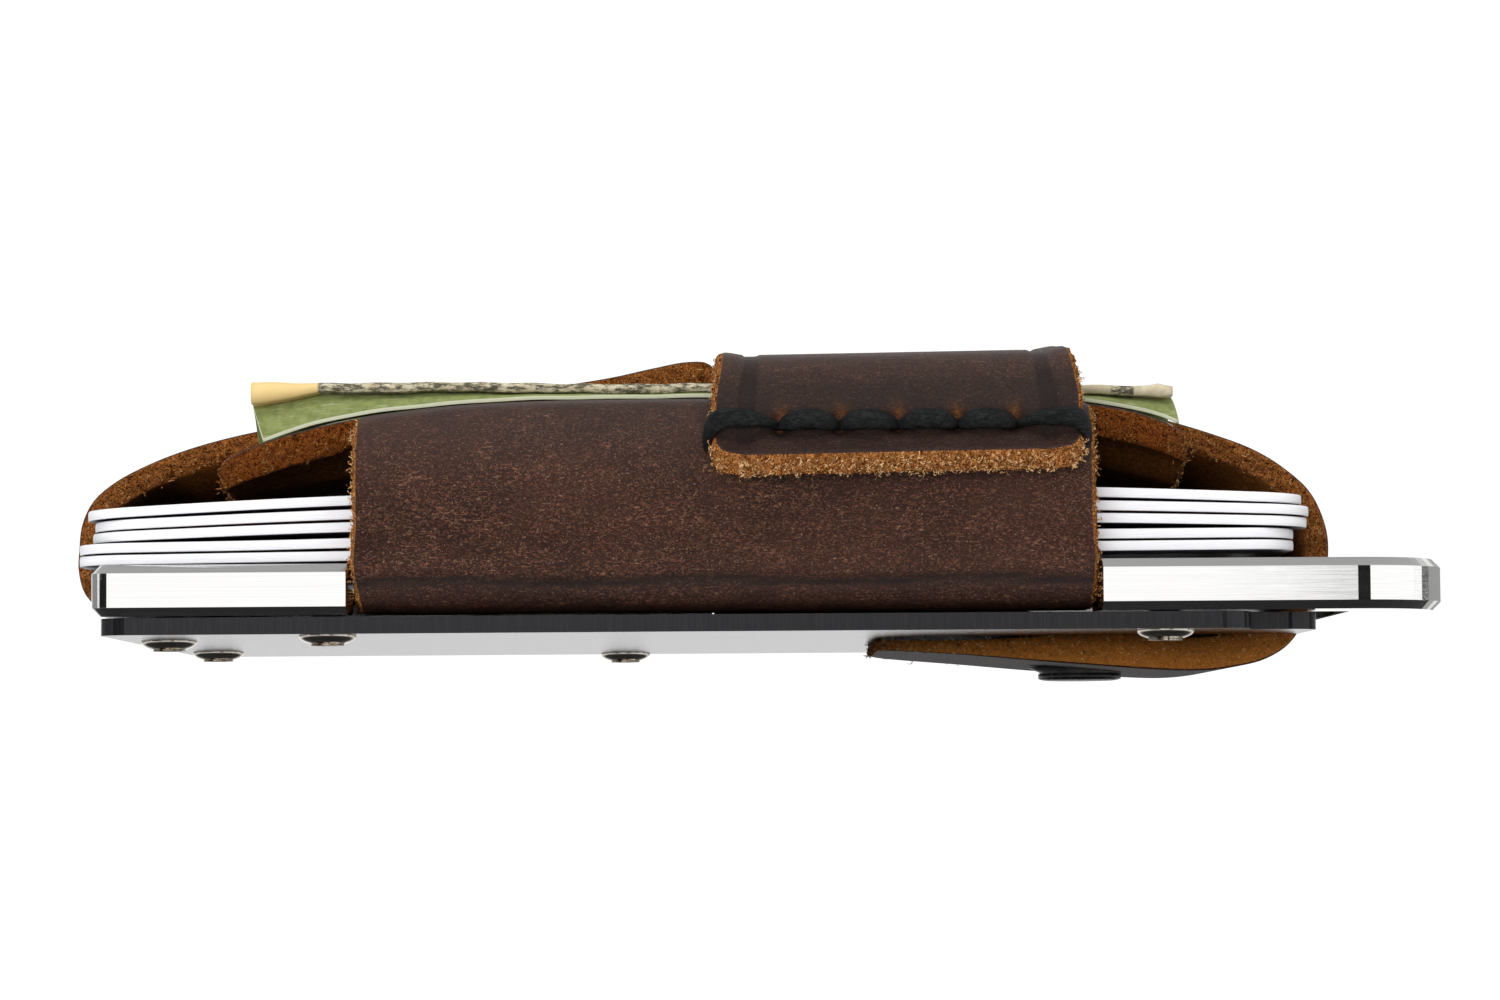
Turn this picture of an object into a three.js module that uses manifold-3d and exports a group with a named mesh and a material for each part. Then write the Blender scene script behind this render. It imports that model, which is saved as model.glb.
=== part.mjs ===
// A metal-framed leather money clip, loaded with cards and folded notes.
//
// Lengths are in millimetres. The pieces are laid out from the frame: X runs along
// it from its left end, Y runs across it from its centre line towards the far side,
// and Z rises from the underside of the back plate. The last lines move the whole
// assembly so that the middle of its underside is the origin.

import * as THREE from 'three';
import { mergeVertices } from 'three/addons/utils/BufferGeometryUtils.js';
import Module from 'manifold-3d';

const wasm = await Module();
wasm.setup();

// ---------------------------------------------------------------- dimensions

const CLEARANCE = 0.3;
const SEAT = 0.1;

// Steel frame, a ring with an oval-cornered end that stands out past the cards.
const FRAME_LENGTH = 94.9;
const FRAME_WIDTH = 63;
const FRAME_THICKNESS = 3.6;
const FRAME_CHAMFER = 0.6;
const FRAME_LEFT_RADIUS = 1.4;
const FRAME_RIGHT_RADIUS = 6.7;
const OPENING_LEFT = 9;
const OPENING_RIGHT = 91;
const OPENING_HALF_WIDTH = 24.8;
const OPENING_RADIUS = 4;
const HALF_WIDTH = FRAME_WIDTH / 2;

// Black back plate. Its right end has two ears, set in from the sides, with a notch
// between them that the closing strap turns through.
const PLATE_THICKNESS = 1.2;
const PLATE_LEFT = 0.5;
const PLATE_RIGHT = 81;
const PLATE_INSET = 0.3;
const PLATE_RADIUS = 2.2;
const EAR_END = 86;
const EAR_OUTER = 27.5;
const NOTCH_LEFT = 79.5;
const NOTCH_HALF_WIDTH = 15.3;
const FRAME_BOTTOM = PLATE_THICKNESS + SEAT;
const FRAME_TOP = FRAME_BOTTOM + FRAME_THICKNESS;

// Button-head screws, driven up through the plate into the frame.
const SCREW_HEAD_RADIUS = 2.05;
const SCREW_HEAD_HEIGHT = 0.85;
const SCREW_RADIUS = 1.05;
const SCREW_HOLE_RADIUS = SCREW_RADIUS + CLEARANCE;
const SCREW_TOP = 4.2;
const SCREW_HOLE_TOP = 4.5;
const SCREW_SOCKET_RADIUS = 1.1;
const SCREW_SOCKET_DEPTH = 0.5;
const SCREW_INSET = 3.5;
const SCREW_PLACES = {
  screw_near_left: [16.25, -HALF_WIDTH + SCREW_INSET],
  screw_near_right: [75.1, -HALF_WIDTH + SCREW_INSET],
  screw_far_left: [35.9, HALF_WIDTH - SCREW_INSET],
  screw_far_right: [76.6, HALF_WIDTH - SCREW_INSET],
  screw_end_near: [3.65, -15.9],
  screw_end_far: [3.65, 15.9],
};

// Leather, and where its three pieces pass into the frame.
const LEATHER = 1.7;
const POCKET_DEPTH = 2.5;
const POCKET_HEIGHT = LEATHER + 2 * CLEARANCE;
const WRAP_LEFT = 18.4;
const WRAP_RIGHT = 69.9;
const WRAP_ROOT_INSET = 0.9;
const PANEL_LEFT = 8.3;
const PANEL_RIGHT = 77.1;
const PANEL_NEAR = -25.8;
const PANEL_FAR = 24;
const PANEL_RADIUS = 3.5;
const PANEL_MIDDLE = 44;
const PANEL_TOP = 16.6;
const BAND_LEFT = 43.4;
const BAND_RIGHT = 68.9;
const BAND_CORNER_RADIUS = 1.9;
const STRAP_HALF_WIDTH = 14.5;
const TAIL_TIP_RADIUS = 6;
const TAIL_TIP_THICKNESS = 0.8;

// Cards to the standard bank-card size, in a slightly bowed stack that rises to the right.
const CARD_LENGTH = 85.6;
const CARD_WIDTH = 54;
const CARD_THICKNESS = 0.76;
const CARD_RADIUS = 3.18;
const CARD_NEAR = -29.5;
const CARD_STACK_BOTTOM = FRAME_TOP + 0.05;
const CARD_STACK_RISE = 0.6;
const CARD_LEFTS = [-1.3, -1.3, -0.35, -0.2, -0.7];
const CARD_PITCH_AT_ENDS = 0.8;
const CARD_PITCH_IN_MIDDLE = 1.0;
const CARD_BOW = 0.25;

// Folded notes between the wrap and the straps.
const NOTE_LEFT = 10.4;
const NOTE_RIGHT = 76.3;
const NOTE_NEAR = -23.4;
const NOTE_FAR = 18;
const NOTE_THICKNESS = 0.25;
const NOTE_TOP = 18;
const NOTE_TOP_FALL = 0.65;
const NOTE_GAP = 0.12;
const NOTE_PACK = 3 * NOTE_THICKNESS + 4 * NOTE_GAP;

// Cord that laces the band to the wrap.
const CORD_RADIUS = 0.6;
const LACE_HEIGHT = 14.2;
const LACE_INNER_HEIGHT = 13.4;
const LACE_HOLES = [47.9, 52.1, 56.2, 60.3, 64.4];
const LACE_END_GAP = 0.7;

// Snap fastener on the tail.
const SNAP_X = 71.2;
const SNAP_CAP_RADIUS = 3.15;
const SNAP_CAP_HEIGHT = 0.5;
const SNAP_SOCKET_RADIUS = 3.0;
const SNAP_STUD_RADIUS = 1.55;
const SNAP_POST_RADIUS = 1.2;
const SNAP_FLANGE_RADIUS = 2.8;
const SNAP_LEATHER_FACE = -2.45;
const SNAP_SOCKET_TOP = -0.35;
const SNAP_SOCKET_BOTTOM = -1.4;

// ----------------------------------------------------------------- materials

const material = (color, roughness, metalness) =>
  new THREE.MeshStandardMaterial({ color, roughness, metalness });

const STEEL = material(0xd5d6d4, 0.3, 1.0);
const BLACK_PAINT = material(0x26272a, 0.45, 0.3);
const NICKEL = material(0xb9b2a6, 0.3, 1.0);
const BROWN_LEATHER = material(0x3c2622, 0.6, 0.0);
const CORD_BLACK = material(0x121214, 0.6, 0.0);
const WHITE_PLASTIC = material(0xf1f0f5, 0.35, 0.0);
const GREEN_PAPER = material(0x9cb376, 0.8, 0.0);
const CREAM_PAPER = material(0xd8cfb4, 0.8, 0.0);
const BLACK_ENAMEL = material(0x1b1b1d, 0.35, 0.2);

// ------------------------------------------------------------------- helpers

const assembly = new THREE.Group();
assembly.name = 'money_clip';

function addMesh(name, geometry, surface) {
  const mesh = new THREE.Mesh(geometry, surface);
  mesh.name = name;
  assembly.add(mesh);
  return mesh;
}

function toSolid(geometry) {
  const bare = geometry.clone();
  bare.deleteAttribute('normal');
  bare.deleteAttribute('uv');
  const merged = mergeVertices(bare, 1e-4);
  return new wasm.Manifold(new wasm.Mesh({
    numProp: 3,
    vertProperties: Float32Array.from(merged.attributes.position.array),
    triVerts: Uint32Array.from(merged.index.array),
  }));
}

function toGeometry(solid) {
  const mesh = solid.getMesh();
  const geometry = new THREE.BufferGeometry();
  geometry.setAttribute('position', new THREE.BufferAttribute(mesh.vertProperties, 3));
  geometry.setIndex(new THREE.BufferAttribute(mesh.triVerts, 1));
  geometry.computeVertexNormals();
  return geometry;
}

function cut(geometry, cutters) {
  const solid = cutters.reduce((rest, cutter) => rest.subtract(toSolid(cutter)), toSolid(geometry));
  return toGeometry(solid);
}

function join(geometries) {
  const solid = geometries.slice(1).reduce(
    (whole, geometry) => whole.add(toSolid(geometry)),
    toSolid(geometries[0]),
  );
  return toGeometry(solid);
}

function box(xs, ys, zs) {
  const geometry = new THREE.BoxGeometry(xs[1] - xs[0], ys[1] - ys[0], zs[1] - zs[0]);
  geometry.translate((xs[0] + xs[1]) / 2, (ys[0] + ys[1]) / 2, (zs[0] + zs[1]) / 2);
  return geometry;
}

function upright(radius, x, y, zs, sides = 16) {
  const geometry = new THREE.CylinderGeometry(radius, radius, zs[1] - zs[0], sides);
  geometry.rotateX(Math.PI / 2);
  geometry.translate(x, y, (zs[0] + zs[1]) / 2);
  return geometry;
}

// A turned piece about a vertical axis, from [radius, z] points that start and end on it.
function turned(profile, x, y, sides = 16) {
  const points = profile.map(([radius, z]) => new THREE.Vector2(radius, z));
  const geometry = new THREE.LatheGeometry(points, sides);
  geometry.rotateX(Math.PI / 2);
  geometry.translate(x, y, 0);
  return mergeVertices(geometry, 1e-4);
}

// A rod of round section between two points.
function rod(from, to, radius, sides = 6) {
  const reach = new THREE.Vector3().subVectors(to, from);
  const geometry = new THREE.CylinderGeometry(radius, radius, reach.length(), sides);
  const turn = new THREE.Quaternion();
  turn.setFromUnitVectors(new THREE.Vector3(0, 1, 0), reach.clone().normalize());
  geometry.applyQuaternion(turn);
  geometry.translate((from.x + to.x) / 2, (from.y + to.y) / 2, (from.z + to.z) / 2);
  return geometry;
}

// A tube of round section along a curve.
function tube(points, radius, steps, sides = 6) {
  const ring = [];
  for (let k = 0; k < sides; k += 1) {
    const turn = (2 * Math.PI * k) / sides;
    ring.push(new THREE.Vector2(radius * Math.cos(turn), radius * Math.sin(turn)));
  }
  return new THREE.ExtrudeGeometry(new THREE.Shape(ring), {
    steps,
    extrudePath: new THREE.CatmullRomCurve3(points, false, 'centripetal'),
    bevelEnabled: false,
  });
}

// A closed solid between two faces of a bent sheet. faces(i, j) gives the point on
// each face at grid place i, j.
function sheet(columns, rows, faces) {
  const positions = [];
  for (let i = 0; i < columns; i += 1) {
    for (let j = 0; j < rows; j += 1) {
      const [front, back] = faces(i, j);
      positions.push(...front, ...back);
    }
  }
  const place = (i, j, side) => 2 * (i * rows + j) + side;
  const index = [];
  const quad = (a, b, c, d) => index.push(a, b, c, a, c, d);
  for (let i = 0; i + 1 < columns; i += 1) {
    for (let j = 0; j + 1 < rows; j += 1) {
      quad(place(i, j, 0), place(i + 1, j, 0), place(i + 1, j + 1, 0), place(i, j + 1, 0));
      quad(place(i, j, 1), place(i, j + 1, 1), place(i + 1, j + 1, 1), place(i + 1, j, 1));
    }
    quad(place(i, 0, 0), place(i, 0, 1), place(i + 1, 0, 1), place(i + 1, 0, 0));
    const top = rows - 1;
    quad(place(i, top, 0), place(i + 1, top, 0), place(i + 1, top, 1), place(i, top, 1));
  }
  for (let j = 0; j + 1 < rows; j += 1) {
    quad(place(0, j, 0), place(0, j + 1, 0), place(0, j + 1, 1), place(0, j, 1));
    const end = columns - 1;
    quad(place(end, j, 0), place(end, j, 1), place(end, j + 1, 1), place(end, j + 1, 0));
  }
  if (signedVolume(positions, index) < 0) {
    index.reverse();
  }
  const geometry = new THREE.BufferGeometry();
  geometry.setAttribute('position', new THREE.Float32BufferAttribute(positions, 3));
  geometry.setIndex(index);
  geometry.computeVertexNormals();
  return geometry;
}

function signedVolume(positions, index) {
  const corner = (k) => new THREE.Vector3().fromArray(positions, 3 * index[k]);
  let volume = 0;
  for (let k = 0; k < index.length; k += 3) {
    volume += corner(k).dot(corner(k + 1).cross(corner(k + 2))) / 6;
  }
  return volume;
}

const smooth = (x, from, to) => THREE.MathUtils.smoothstep(x, from, to);
const mix = THREE.MathUtils.lerp;

function even(from, to, steps) {
  return Array.from({ length: steps + 1 }, (_, k) => mix(from, to, k / steps));
}

// How far a rounded corner pulls an edge in, at a distance from the corner's end.
function cornerInset(radius, distance) {
  const rest = Math.max(0, radius - Math.max(0, distance));
  return radius - Math.sqrt(radius * radius - rest * rest);
}

// Points along a smooth plane curve, each with the direction square to it.
function profile(points, steps) {
  const curve = new THREE.CatmullRomCurve3(
    points.map(([across, up]) => new THREE.Vector3(across, up, 0)),
    false,
    'centripetal',
  );
  return even(0, 1, steps).map((t) => {
    const at = curve.getPointAt(t);
    const along = curve.getTangentAt(t);
    return { at: [at.x, at.y], square: [along.y, -along.x] };
  });
}

// --------------------------------------------------------------------- frame

function roundedOutline(left, right, halfWidth, leftRadius, rightRadius, path) {
  path.moveTo(left + leftRadius, -halfWidth);
  path.lineTo(right - rightRadius, -halfWidth);
  path.absarc(right - rightRadius, rightRadius - halfWidth, rightRadius, -Math.PI / 2, 0);
  path.lineTo(right, halfWidth - rightRadius);
  path.absarc(right - rightRadius, halfWidth - rightRadius, rightRadius, 0, Math.PI / 2);
  path.lineTo(left + leftRadius, halfWidth);
  path.absarc(left + leftRadius, halfWidth - leftRadius, leftRadius, Math.PI / 2, Math.PI);
  path.lineTo(left, leftRadius - halfWidth);
  path.absarc(left + leftRadius, leftRadius - halfWidth, leftRadius, Math.PI, 1.5 * Math.PI);
  return path;
}

// A cut-back in one long side, with sloping ends, that a leather piece lies in.
function sideRecess(left, right, side) {
  const slope = 0.4;
  const outside = side * (HALF_WIDTH + 1);
  const inside = side * (HALF_WIDTH - POCKET_DEPTH);
  const outline = new THREE.Shape([
    new THREE.Vector2(left - slope, outside),
    new THREE.Vector2(right + slope, outside),
    new THREE.Vector2(right, inside),
    new THREE.Vector2(left, inside),
  ]);
  const recess = new THREE.ExtrudeGeometry(outline, { depth: 8, bevelEnabled: false });
  return recess;
}

function makeFrame() {
  const outline = roundedOutline(
    0, FRAME_LENGTH, HALF_WIDTH, FRAME_LEFT_RADIUS, FRAME_RIGHT_RADIUS, new THREE.Shape(),
  );
  outline.holes.push(roundedOutline(
    OPENING_LEFT, OPENING_RIGHT, OPENING_HALF_WIDTH, OPENING_RADIUS, OPENING_RADIUS,
    new THREE.Path(),
  ));
  const ring = new THREE.ExtrudeGeometry(outline, {
    depth: FRAME_THICKNESS - 2 * FRAME_CHAMFER,
    bevelThickness: FRAME_CHAMFER,
    bevelSize: FRAME_CHAMFER,
    bevelOffset: -FRAME_CHAMFER,
    bevelSegments: 1,
    curveSegments: 6,
  });
  ring.translate(0, 0, FRAME_BOTTOM + FRAME_CHAMFER);
  const wrapRecess = [WRAP_LEFT - CLEARANCE, WRAP_RIGHT + CLEARANCE];
  const bandRecess = [BAND_LEFT - CLEARANCE, BAND_RIGHT + CLEARANCE];
  const pocketZ = [0, FRAME_BOTTOM + POCKET_HEIGHT];
  const pocketInside = OPENING_HALF_WIDTH - 1;
  const strapPocketY = [-STRAP_HALF_WIDTH - 0.5, STRAP_HALF_WIDTH + 0.5];
  const strapBendRelief = 1.0;
  const cutters = [
    sideRecess(...wrapRecess, -1),
    sideRecess(...bandRecess, 1),
    box(wrapRecess, [-HALF_WIDTH, -pocketInside], pocketZ),
    box(bandRecess, [pocketInside, HALF_WIDTH], pocketZ),
    box([-1, OPENING_LEFT + 1], strapPocketY, pocketZ),
    box([-1, strapBendRelief], strapPocketY, [0, pocketZ[1] + strapBendRelief]),
  ];
  Object.values(SCREW_PLACES).forEach(([x, y]) => {
    cutters.push(upright(SCREW_HOLE_RADIUS, x, y, [0, SCREW_HOLE_TOP], 12));
  });
  return cut(ring, cutters);
}

function makePlate() {
  const edge = HALF_WIDTH - PLATE_INSET;
  const outline = roundedOutline(
    PLATE_LEFT, PLATE_RIGHT, edge, PLATE_RADIUS, PLATE_RADIUS, new THREE.Shape(),
  );
  const flat = { depth: PLATE_THICKNESS, bevelEnabled: false, curveSegments: 6 };
  const ears = roundedOutline(
    PLATE_RIGHT - 2 * PLATE_RADIUS, EAR_END, EAR_OUTER, 1, PLATE_RADIUS, new THREE.Shape(),
  );
  const blank = join([
    new THREE.ExtrudeGeometry(outline, flat),
    new THREE.ExtrudeGeometry(ears, flat),
  ]);
  const notch = roundedOutline(
    NOTCH_LEFT, EAR_END + 5, NOTCH_HALF_WIDTH, 1, 1, new THREE.Shape(),
  );
  const holes = Object.values(SCREW_PLACES).map(
    ([x, y]) => upright(SCREW_HOLE_RADIUS, x, y, [-1, PLATE_THICKNESS + 1], 12),
  );
  holes.push(upright(SNAP_STUD_RADIUS + CLEARANCE, SNAP_X, 0, [-1, PLATE_THICKNESS + 1], 16));
  const notchCutter = new THREE.ExtrudeGeometry(notch, { ...flat, depth: PLATE_THICKNESS + 2 });
  notchCutter.translate(0, 0, -1);
  holes.push(notchCutter);
  return cut(blank, holes);
}

function makeScrew(x, y) {
  const domeSteps = 3;
  const dome = even(0, Math.PI / 2, domeSteps).map((turn) => [
    SCREW_HEAD_RADIUS * Math.sin(turn),
    -SEAT - SCREW_HEAD_HEIGHT * (0.25 + 0.75 * Math.cos(turn)),
  ]);
  dome[0][0] = 0;
  const body = turned([
    ...dome,
    [SCREW_HEAD_RADIUS, -SEAT],
    [SCREW_RADIUS, -SEAT],
    [SCREW_RADIUS, SCREW_TOP],
    [0, SCREW_TOP],
  ], x, y, 12);
  const socketTop = -SEAT - SCREW_HEAD_HEIGHT + SCREW_SOCKET_DEPTH;
  const socket = upright(SCREW_SOCKET_RADIUS, x, y, [-SCREW_HEAD_HEIGHT - 1, socketTop], 6);
  return cut(body, [socket]);
}

addMesh('frame', makeFrame(), STEEL);
addMesh('back_plate', makePlate(), BLACK_PAINT);
Object.entries(SCREW_PLACES).forEach(([name, [x, y]]) => {
  addMesh(name, makeScrew(x, y), NICKEL);
});

// ------------------------------------------------------------- closing strap

// Outer face of the strap, [x, z], from its clamped end under the left bar, over the
// top, down through the end of the frame and back under the plate to its tip.
const STRAP_OUTER = [
  [8.6, 1.5], [4.5, 1.5], [1.3, 1.5], [-1.0, 2.1], [-2.6, 3.4], [-3.15, 5.2], [-3.1, 6.9],
  [-2.9, 8.6], [-2.1, 10.3], [-0.5, 11.7], [2.2, 13.1], [5.5, 14.3], [10, 15.4], [18, 16.7],
  [26, 17.75], [32.5, 18.75], [36, 19.35], [38.4, 19.7], [40.2, 19.65], [42, 19.2],
  [44, 18.95], [47, 18.9], [51, 18.8], [58, 18.6], [65, 17.95], [71.5, 16.95],
  [76, 15.95], [80, 14.75], [83, 13.6], [85.2, 12.25], [87.2, 10.35], [88.3, 7.7],
  [88.4, 5.5], [87.9, 3.2], [86.8, 1.2], [85.4, -0.75], [83.7, -1.8], [81.5, -2.35],
  [79, -2.6], [75.5, -2.5], [70.9, -2.15], [67.3, -1.85], [61.8, -1.35], [55.6, -0.9],
];
const STRAP_STATIONS = profile(STRAP_OUTER, 64);
const HINGE_STATION = STRAP_STATIONS.findIndex(
  ({ at: [x, z] }) => x > PLATE_RIGHT && z < 0.8,
);

function strapSolid(stations) {
  const across = 3;
  return sheet(stations.length, across, (i, j) => {
    const { at: [x, z], square: [nx, nz] } = stations[i];
    const underPlate = z < 0;
    const tipDistance = underPlate ? x - STRAP_OUTER.at(-1)[0] : TAIL_TIP_RADIUS;
    const half = STRAP_HALF_WIDTH - cornerInset(TAIL_TIP_RADIUS, tipDistance);
    const thickness = underPlate ? mix(TAIL_TIP_THICKNESS, LEATHER, smooth(x, 56, 72)) : LEATHER;
    const y = mix(-half, half, j / (across - 1));
    return [[x, y, z], [x + nx * thickness, y, z + nz * thickness]];
  });
}

// Height of the strap's under face where it lies over the wrap.
const STRAP_OVER = STRAP_STATIONS.slice(0, HINGE_STATION)
  .filter(({ at: [, z] }) => z > 12)
  .map(({ at: [x, z], square: [nx, nz] }) => [x + nx * LEATHER, z + nz * LEATHER]);

function strapUnderside(x) {
  const after = STRAP_OVER.findIndex(([at]) => at > x);
  const [x1, z1] = STRAP_OVER[after];
  const [x0, z0] = STRAP_OVER[after - 1];
  return mix(z0, z1, (x - x0) / (x1 - x0));
}

addMesh('closing_strap', strapSolid(STRAP_STATIONS.slice(0, HINGE_STATION + 1)), BROWN_LEATHER);

// The tail is split from the strap where it turns under the plate. It turns about the split's
// outer edge, and a short step leaves the gap between the two.
function makeTail() {
  const stations = STRAP_STATIONS.slice(HINGE_STATION);
  const share = CLEARANCE / Math.hypot(
    stations[1].at[0] - stations[0].at[0],
    stations[1].at[1] - stations[0].at[1],
  );
  stations[0] = {
    at: [
      mix(stations[0].at[0], stations[1].at[0], share),
      mix(stations[0].at[1], stations[1].at[1], share),
    ],
    square: [
      mix(stations[0].square[0], stations[1].square[0], share),
      mix(stations[0].square[1], stations[1].square[1], share),
    ],
  };
  return cut(strapSolid(stations), [
    upright(SNAP_POST_RADIUS + CLEARANCE, SNAP_X, 0, [-5, 1]),
    upright(SNAP_SOCKET_RADIUS + CLEARANCE, SNAP_X, 0, [SNAP_SOCKET_BOTTOM - SEAT, 1]),
  ]);
}

addMesh('strap_tail', makeTail(), BROWN_LEATHER);

// ---------------------------------------------------------------------- snap

addMesh('snap_cap', turned([
  [0, SNAP_LEATHER_FACE - SEAT - SNAP_CAP_HEIGHT],
  [SNAP_CAP_RADIUS * 0.6, SNAP_LEATHER_FACE - SEAT - SNAP_CAP_HEIGHT * 0.93],
  [SNAP_CAP_RADIUS * 0.9, SNAP_LEATHER_FACE - SEAT - SNAP_CAP_HEIGHT * 0.6],
  [SNAP_CAP_RADIUS, SNAP_LEATHER_FACE - SEAT - SNAP_CAP_HEIGHT * 0.25],
  [SNAP_CAP_RADIUS * 0.97, SNAP_LEATHER_FACE - SEAT],
  [0, SNAP_LEATHER_FACE - SEAT],
], SNAP_X, 0), BLACK_ENAMEL);

addMesh('snap_socket', turned([
  [0, SNAP_LEATHER_FACE],
  [SNAP_POST_RADIUS, SNAP_LEATHER_FACE],
  [SNAP_POST_RADIUS, SNAP_SOCKET_BOTTOM],
  [SNAP_SOCKET_RADIUS, SNAP_SOCKET_BOTTOM],
  [SNAP_SOCKET_RADIUS, SNAP_SOCKET_TOP],
  [SNAP_STUD_RADIUS + CLEARANCE, SNAP_SOCKET_TOP],
  [SNAP_STUD_RADIUS + CLEARANCE, SNAP_SOCKET_BOTTOM + 0.25],
  [0, SNAP_SOCKET_BOTTOM + 0.25],
], SNAP_X, 0), NICKEL);

addMesh('snap_stud', turned([
  [0, SNAP_SOCKET_BOTTOM + 0.5],
  [SNAP_STUD_RADIUS * 0.8, SNAP_SOCKET_BOTTOM + 0.5],
  [SNAP_STUD_RADIUS, SNAP_SOCKET_BOTTOM + 0.75],
  [SNAP_STUD_RADIUS, PLATE_THICKNESS + SEAT],
  [SNAP_FLANGE_RADIUS, PLATE_THICKNESS + SEAT],
  [SNAP_FLANGE_RADIUS, PLATE_THICKNESS + SEAT + 0.4],
  [0, PLATE_THICKNESS + SEAT + 0.4],
], SNAP_X, 0), NICKEL);

// ----------------------------------------------------------------- card wrap

// Outer face of the wrap, [y, z], at the middle of its length: from the clamped root
// under the near rail, up the near side and round the top edge.
const WRAP_OUTER = [
  [-24.4, 1.5], [-27, 1.5], [-29.1, 1.5], [-30.6, 2.1], [-31.25, 3.4], [-31.6, 5.65],
  [-32.3, 8.65], [-32.5, 11.65], [-31.9, 14.05], [-30.2, 15.9], [-27.6, 16.5],
  [PANEL_NEAR, PANEL_TOP],
];
const PANEL_STATIONS = [
  -25.2, -24.4, -23, -21, -19, -17, -15, -8, 0, 8, 15, 19, 21.5, 23, PANEL_FAR,
];

// Top of the wrap beside the straps, drooping towards both ends.
function wrapNearTop(x) {
  const left = 4.1 * Math.max(0, (PANEL_MIDDLE - x) / (PANEL_MIDDLE - PANEL_LEFT)) ** 3.8;
  const right = 2.5 * Math.max(0, (x - PANEL_MIDDLE) / (PANEL_RIGHT - PANEL_MIDDLE)) ** 7;
  return PANEL_TOP - left - right;
}

// Top of the wrap where the closing strap presses the notes onto it.
function wrapPressedTop(x) {
  return Math.min(wrapNearTop(x), strapUnderside(x) - NOTE_PACK);
}

const pressed = (y) => smooth(y, -22.5, -15);
const wrapTop = (x, y) => mix(wrapNearTop(x), wrapPressedTop(x), pressed(y));

function wrapStations() {
  const up = profile(WRAP_OUTER, 17);
  const over = PANEL_STATIONS.map((y) => ({ at: [y, PANEL_TOP], square: [0, -1] }));
  return [...up, ...over];
}

function wrapEdges(y, z) {
  const fromShoulder = y - PANEL_NEAR;
  const onSide = z < PANEL_TOP / 2;
  if (onSide || fromShoulder <= 0) {
    const tuck = WRAP_ROOT_INSET * (1 - smooth(z, 3, 8));
    return [WRAP_LEFT + tuck, WRAP_RIGHT - tuck];
  }
  const fromEnd = Math.min(fromShoulder, PANEL_FAR - y);
  const inset = cornerInset(PANEL_RADIUS, fromEnd);
  return [PANEL_LEFT + inset, PANEL_RIGHT - inset];
}

function makeWrap() {
  const stations = wrapStations();
  const across = 11;
  return sheet(stations.length, across, (i, j) => {
    const { at: [y, z], square: [ny, nz] } = stations[i];
    const [left, right] = wrapEdges(y, z);
    const x = mix(left, right, j / (across - 1));
    const drop = (PANEL_TOP - wrapTop(x, y)) * smooth(z, 6, 15);
    return [[x, y, z - drop], [x, y + ny * LEATHER, z - drop + nz * LEATHER]];
  });
}

// ----------------------------------------------------------------- note band

// Outer face of the band, [y, z]: from the lip that flares out on the near side, over
// the top and down the far side to its clamped root under the far rail.
const BAND_OUTER = [
  [-36.75, 12.15], [-35.85, 12.75], [-35.1, 13.6], [-34.65, 14.7], [-34.3, 16.3],
  [-33.3, 17.9], [-31.5, 19.0], [-28.5, 19.6], [-24, 20.0], [-16, 20.75], [-6, 21.1],
  [6, 21.1], [16, 20.75], [24, 19.6], [29.5, 17.6], [32.4, 14.9], [33.0, 11.0], [32.6, 7.2],
  [31.6, 4.6], [30.6, 2.3], [29.1, 1.5], [27, 1.5], [24.4, 1.5],
];

function makeBand() {
  const [lipY, lipZ] = BAND_OUTER[0];
  const stations = profile(BAND_OUTER, 34);
  const across = 3;
  return sheet(stations.length, across, (i, j) => {
    const { at: [y, z], square: [ny, nz] } = stations[i];
    const inset = cornerInset(BAND_CORNER_RADIUS, Math.hypot(y - lipY, z - lipZ));
    const x = mix(BAND_LEFT + inset, BAND_RIGHT - inset, j / (across - 1));
    return [[x, y, z], [x, y + ny * LEATHER, z + nz * LEATHER]];
  });
}

// -------------------------------------------------------------------- lacing

const LACE_FACE = -34.85;
const LACE_ARCH = LACE_FACE - CORD_RADIUS - 0.4;
const LACE_BEHIND = -29.3;
const LACE_ENDS = [BAND_LEFT - LACE_END_GAP, BAND_RIGHT + LACE_END_GAP];

// The cord outside the band: up through the wrap beside the band's edge, round the
// edge, then arched from hole to hole and back round the other edge.
function laceOutside() {
  const [leftEnd, rightEnd] = LACE_ENDS;
  const points = [
    new THREE.Vector3(leftEnd, LACE_BEHIND, LACE_INNER_HEIGHT),
    new THREE.Vector3(leftEnd, LACE_FACE + 1.2, LACE_INNER_HEIGHT),
    new THREE.Vector3(leftEnd + 0.25, LACE_ARCH + 0.3, LACE_HEIGHT - 0.5),
    new THREE.Vector3(leftEnd + 1.8, LACE_ARCH, LACE_HEIGHT - 0.1),
  ];
  LACE_HOLES.forEach((x, k) => {
    points.push(new THREE.Vector3(x, LACE_FACE, LACE_HEIGHT));
    if (k + 1 < LACE_HOLES.length) {
      const middle = (x + LACE_HOLES[k + 1]) / 2;
      points.push(new THREE.Vector3(middle, LACE_ARCH, LACE_HEIGHT + 0.1));
    }
  });
  points.push(
    new THREE.Vector3(rightEnd - 1.8, LACE_ARCH, LACE_HEIGHT - 0.1),
    new THREE.Vector3(rightEnd - 0.25, LACE_ARCH + 0.3, LACE_HEIGHT - 0.5),
    new THREE.Vector3(rightEnd, LACE_FACE + 1.2, LACE_INNER_HEIGHT),
    new THREE.Vector3(rightEnd, LACE_BEHIND, LACE_INNER_HEIGHT),
  );
  return points;
}

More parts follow.
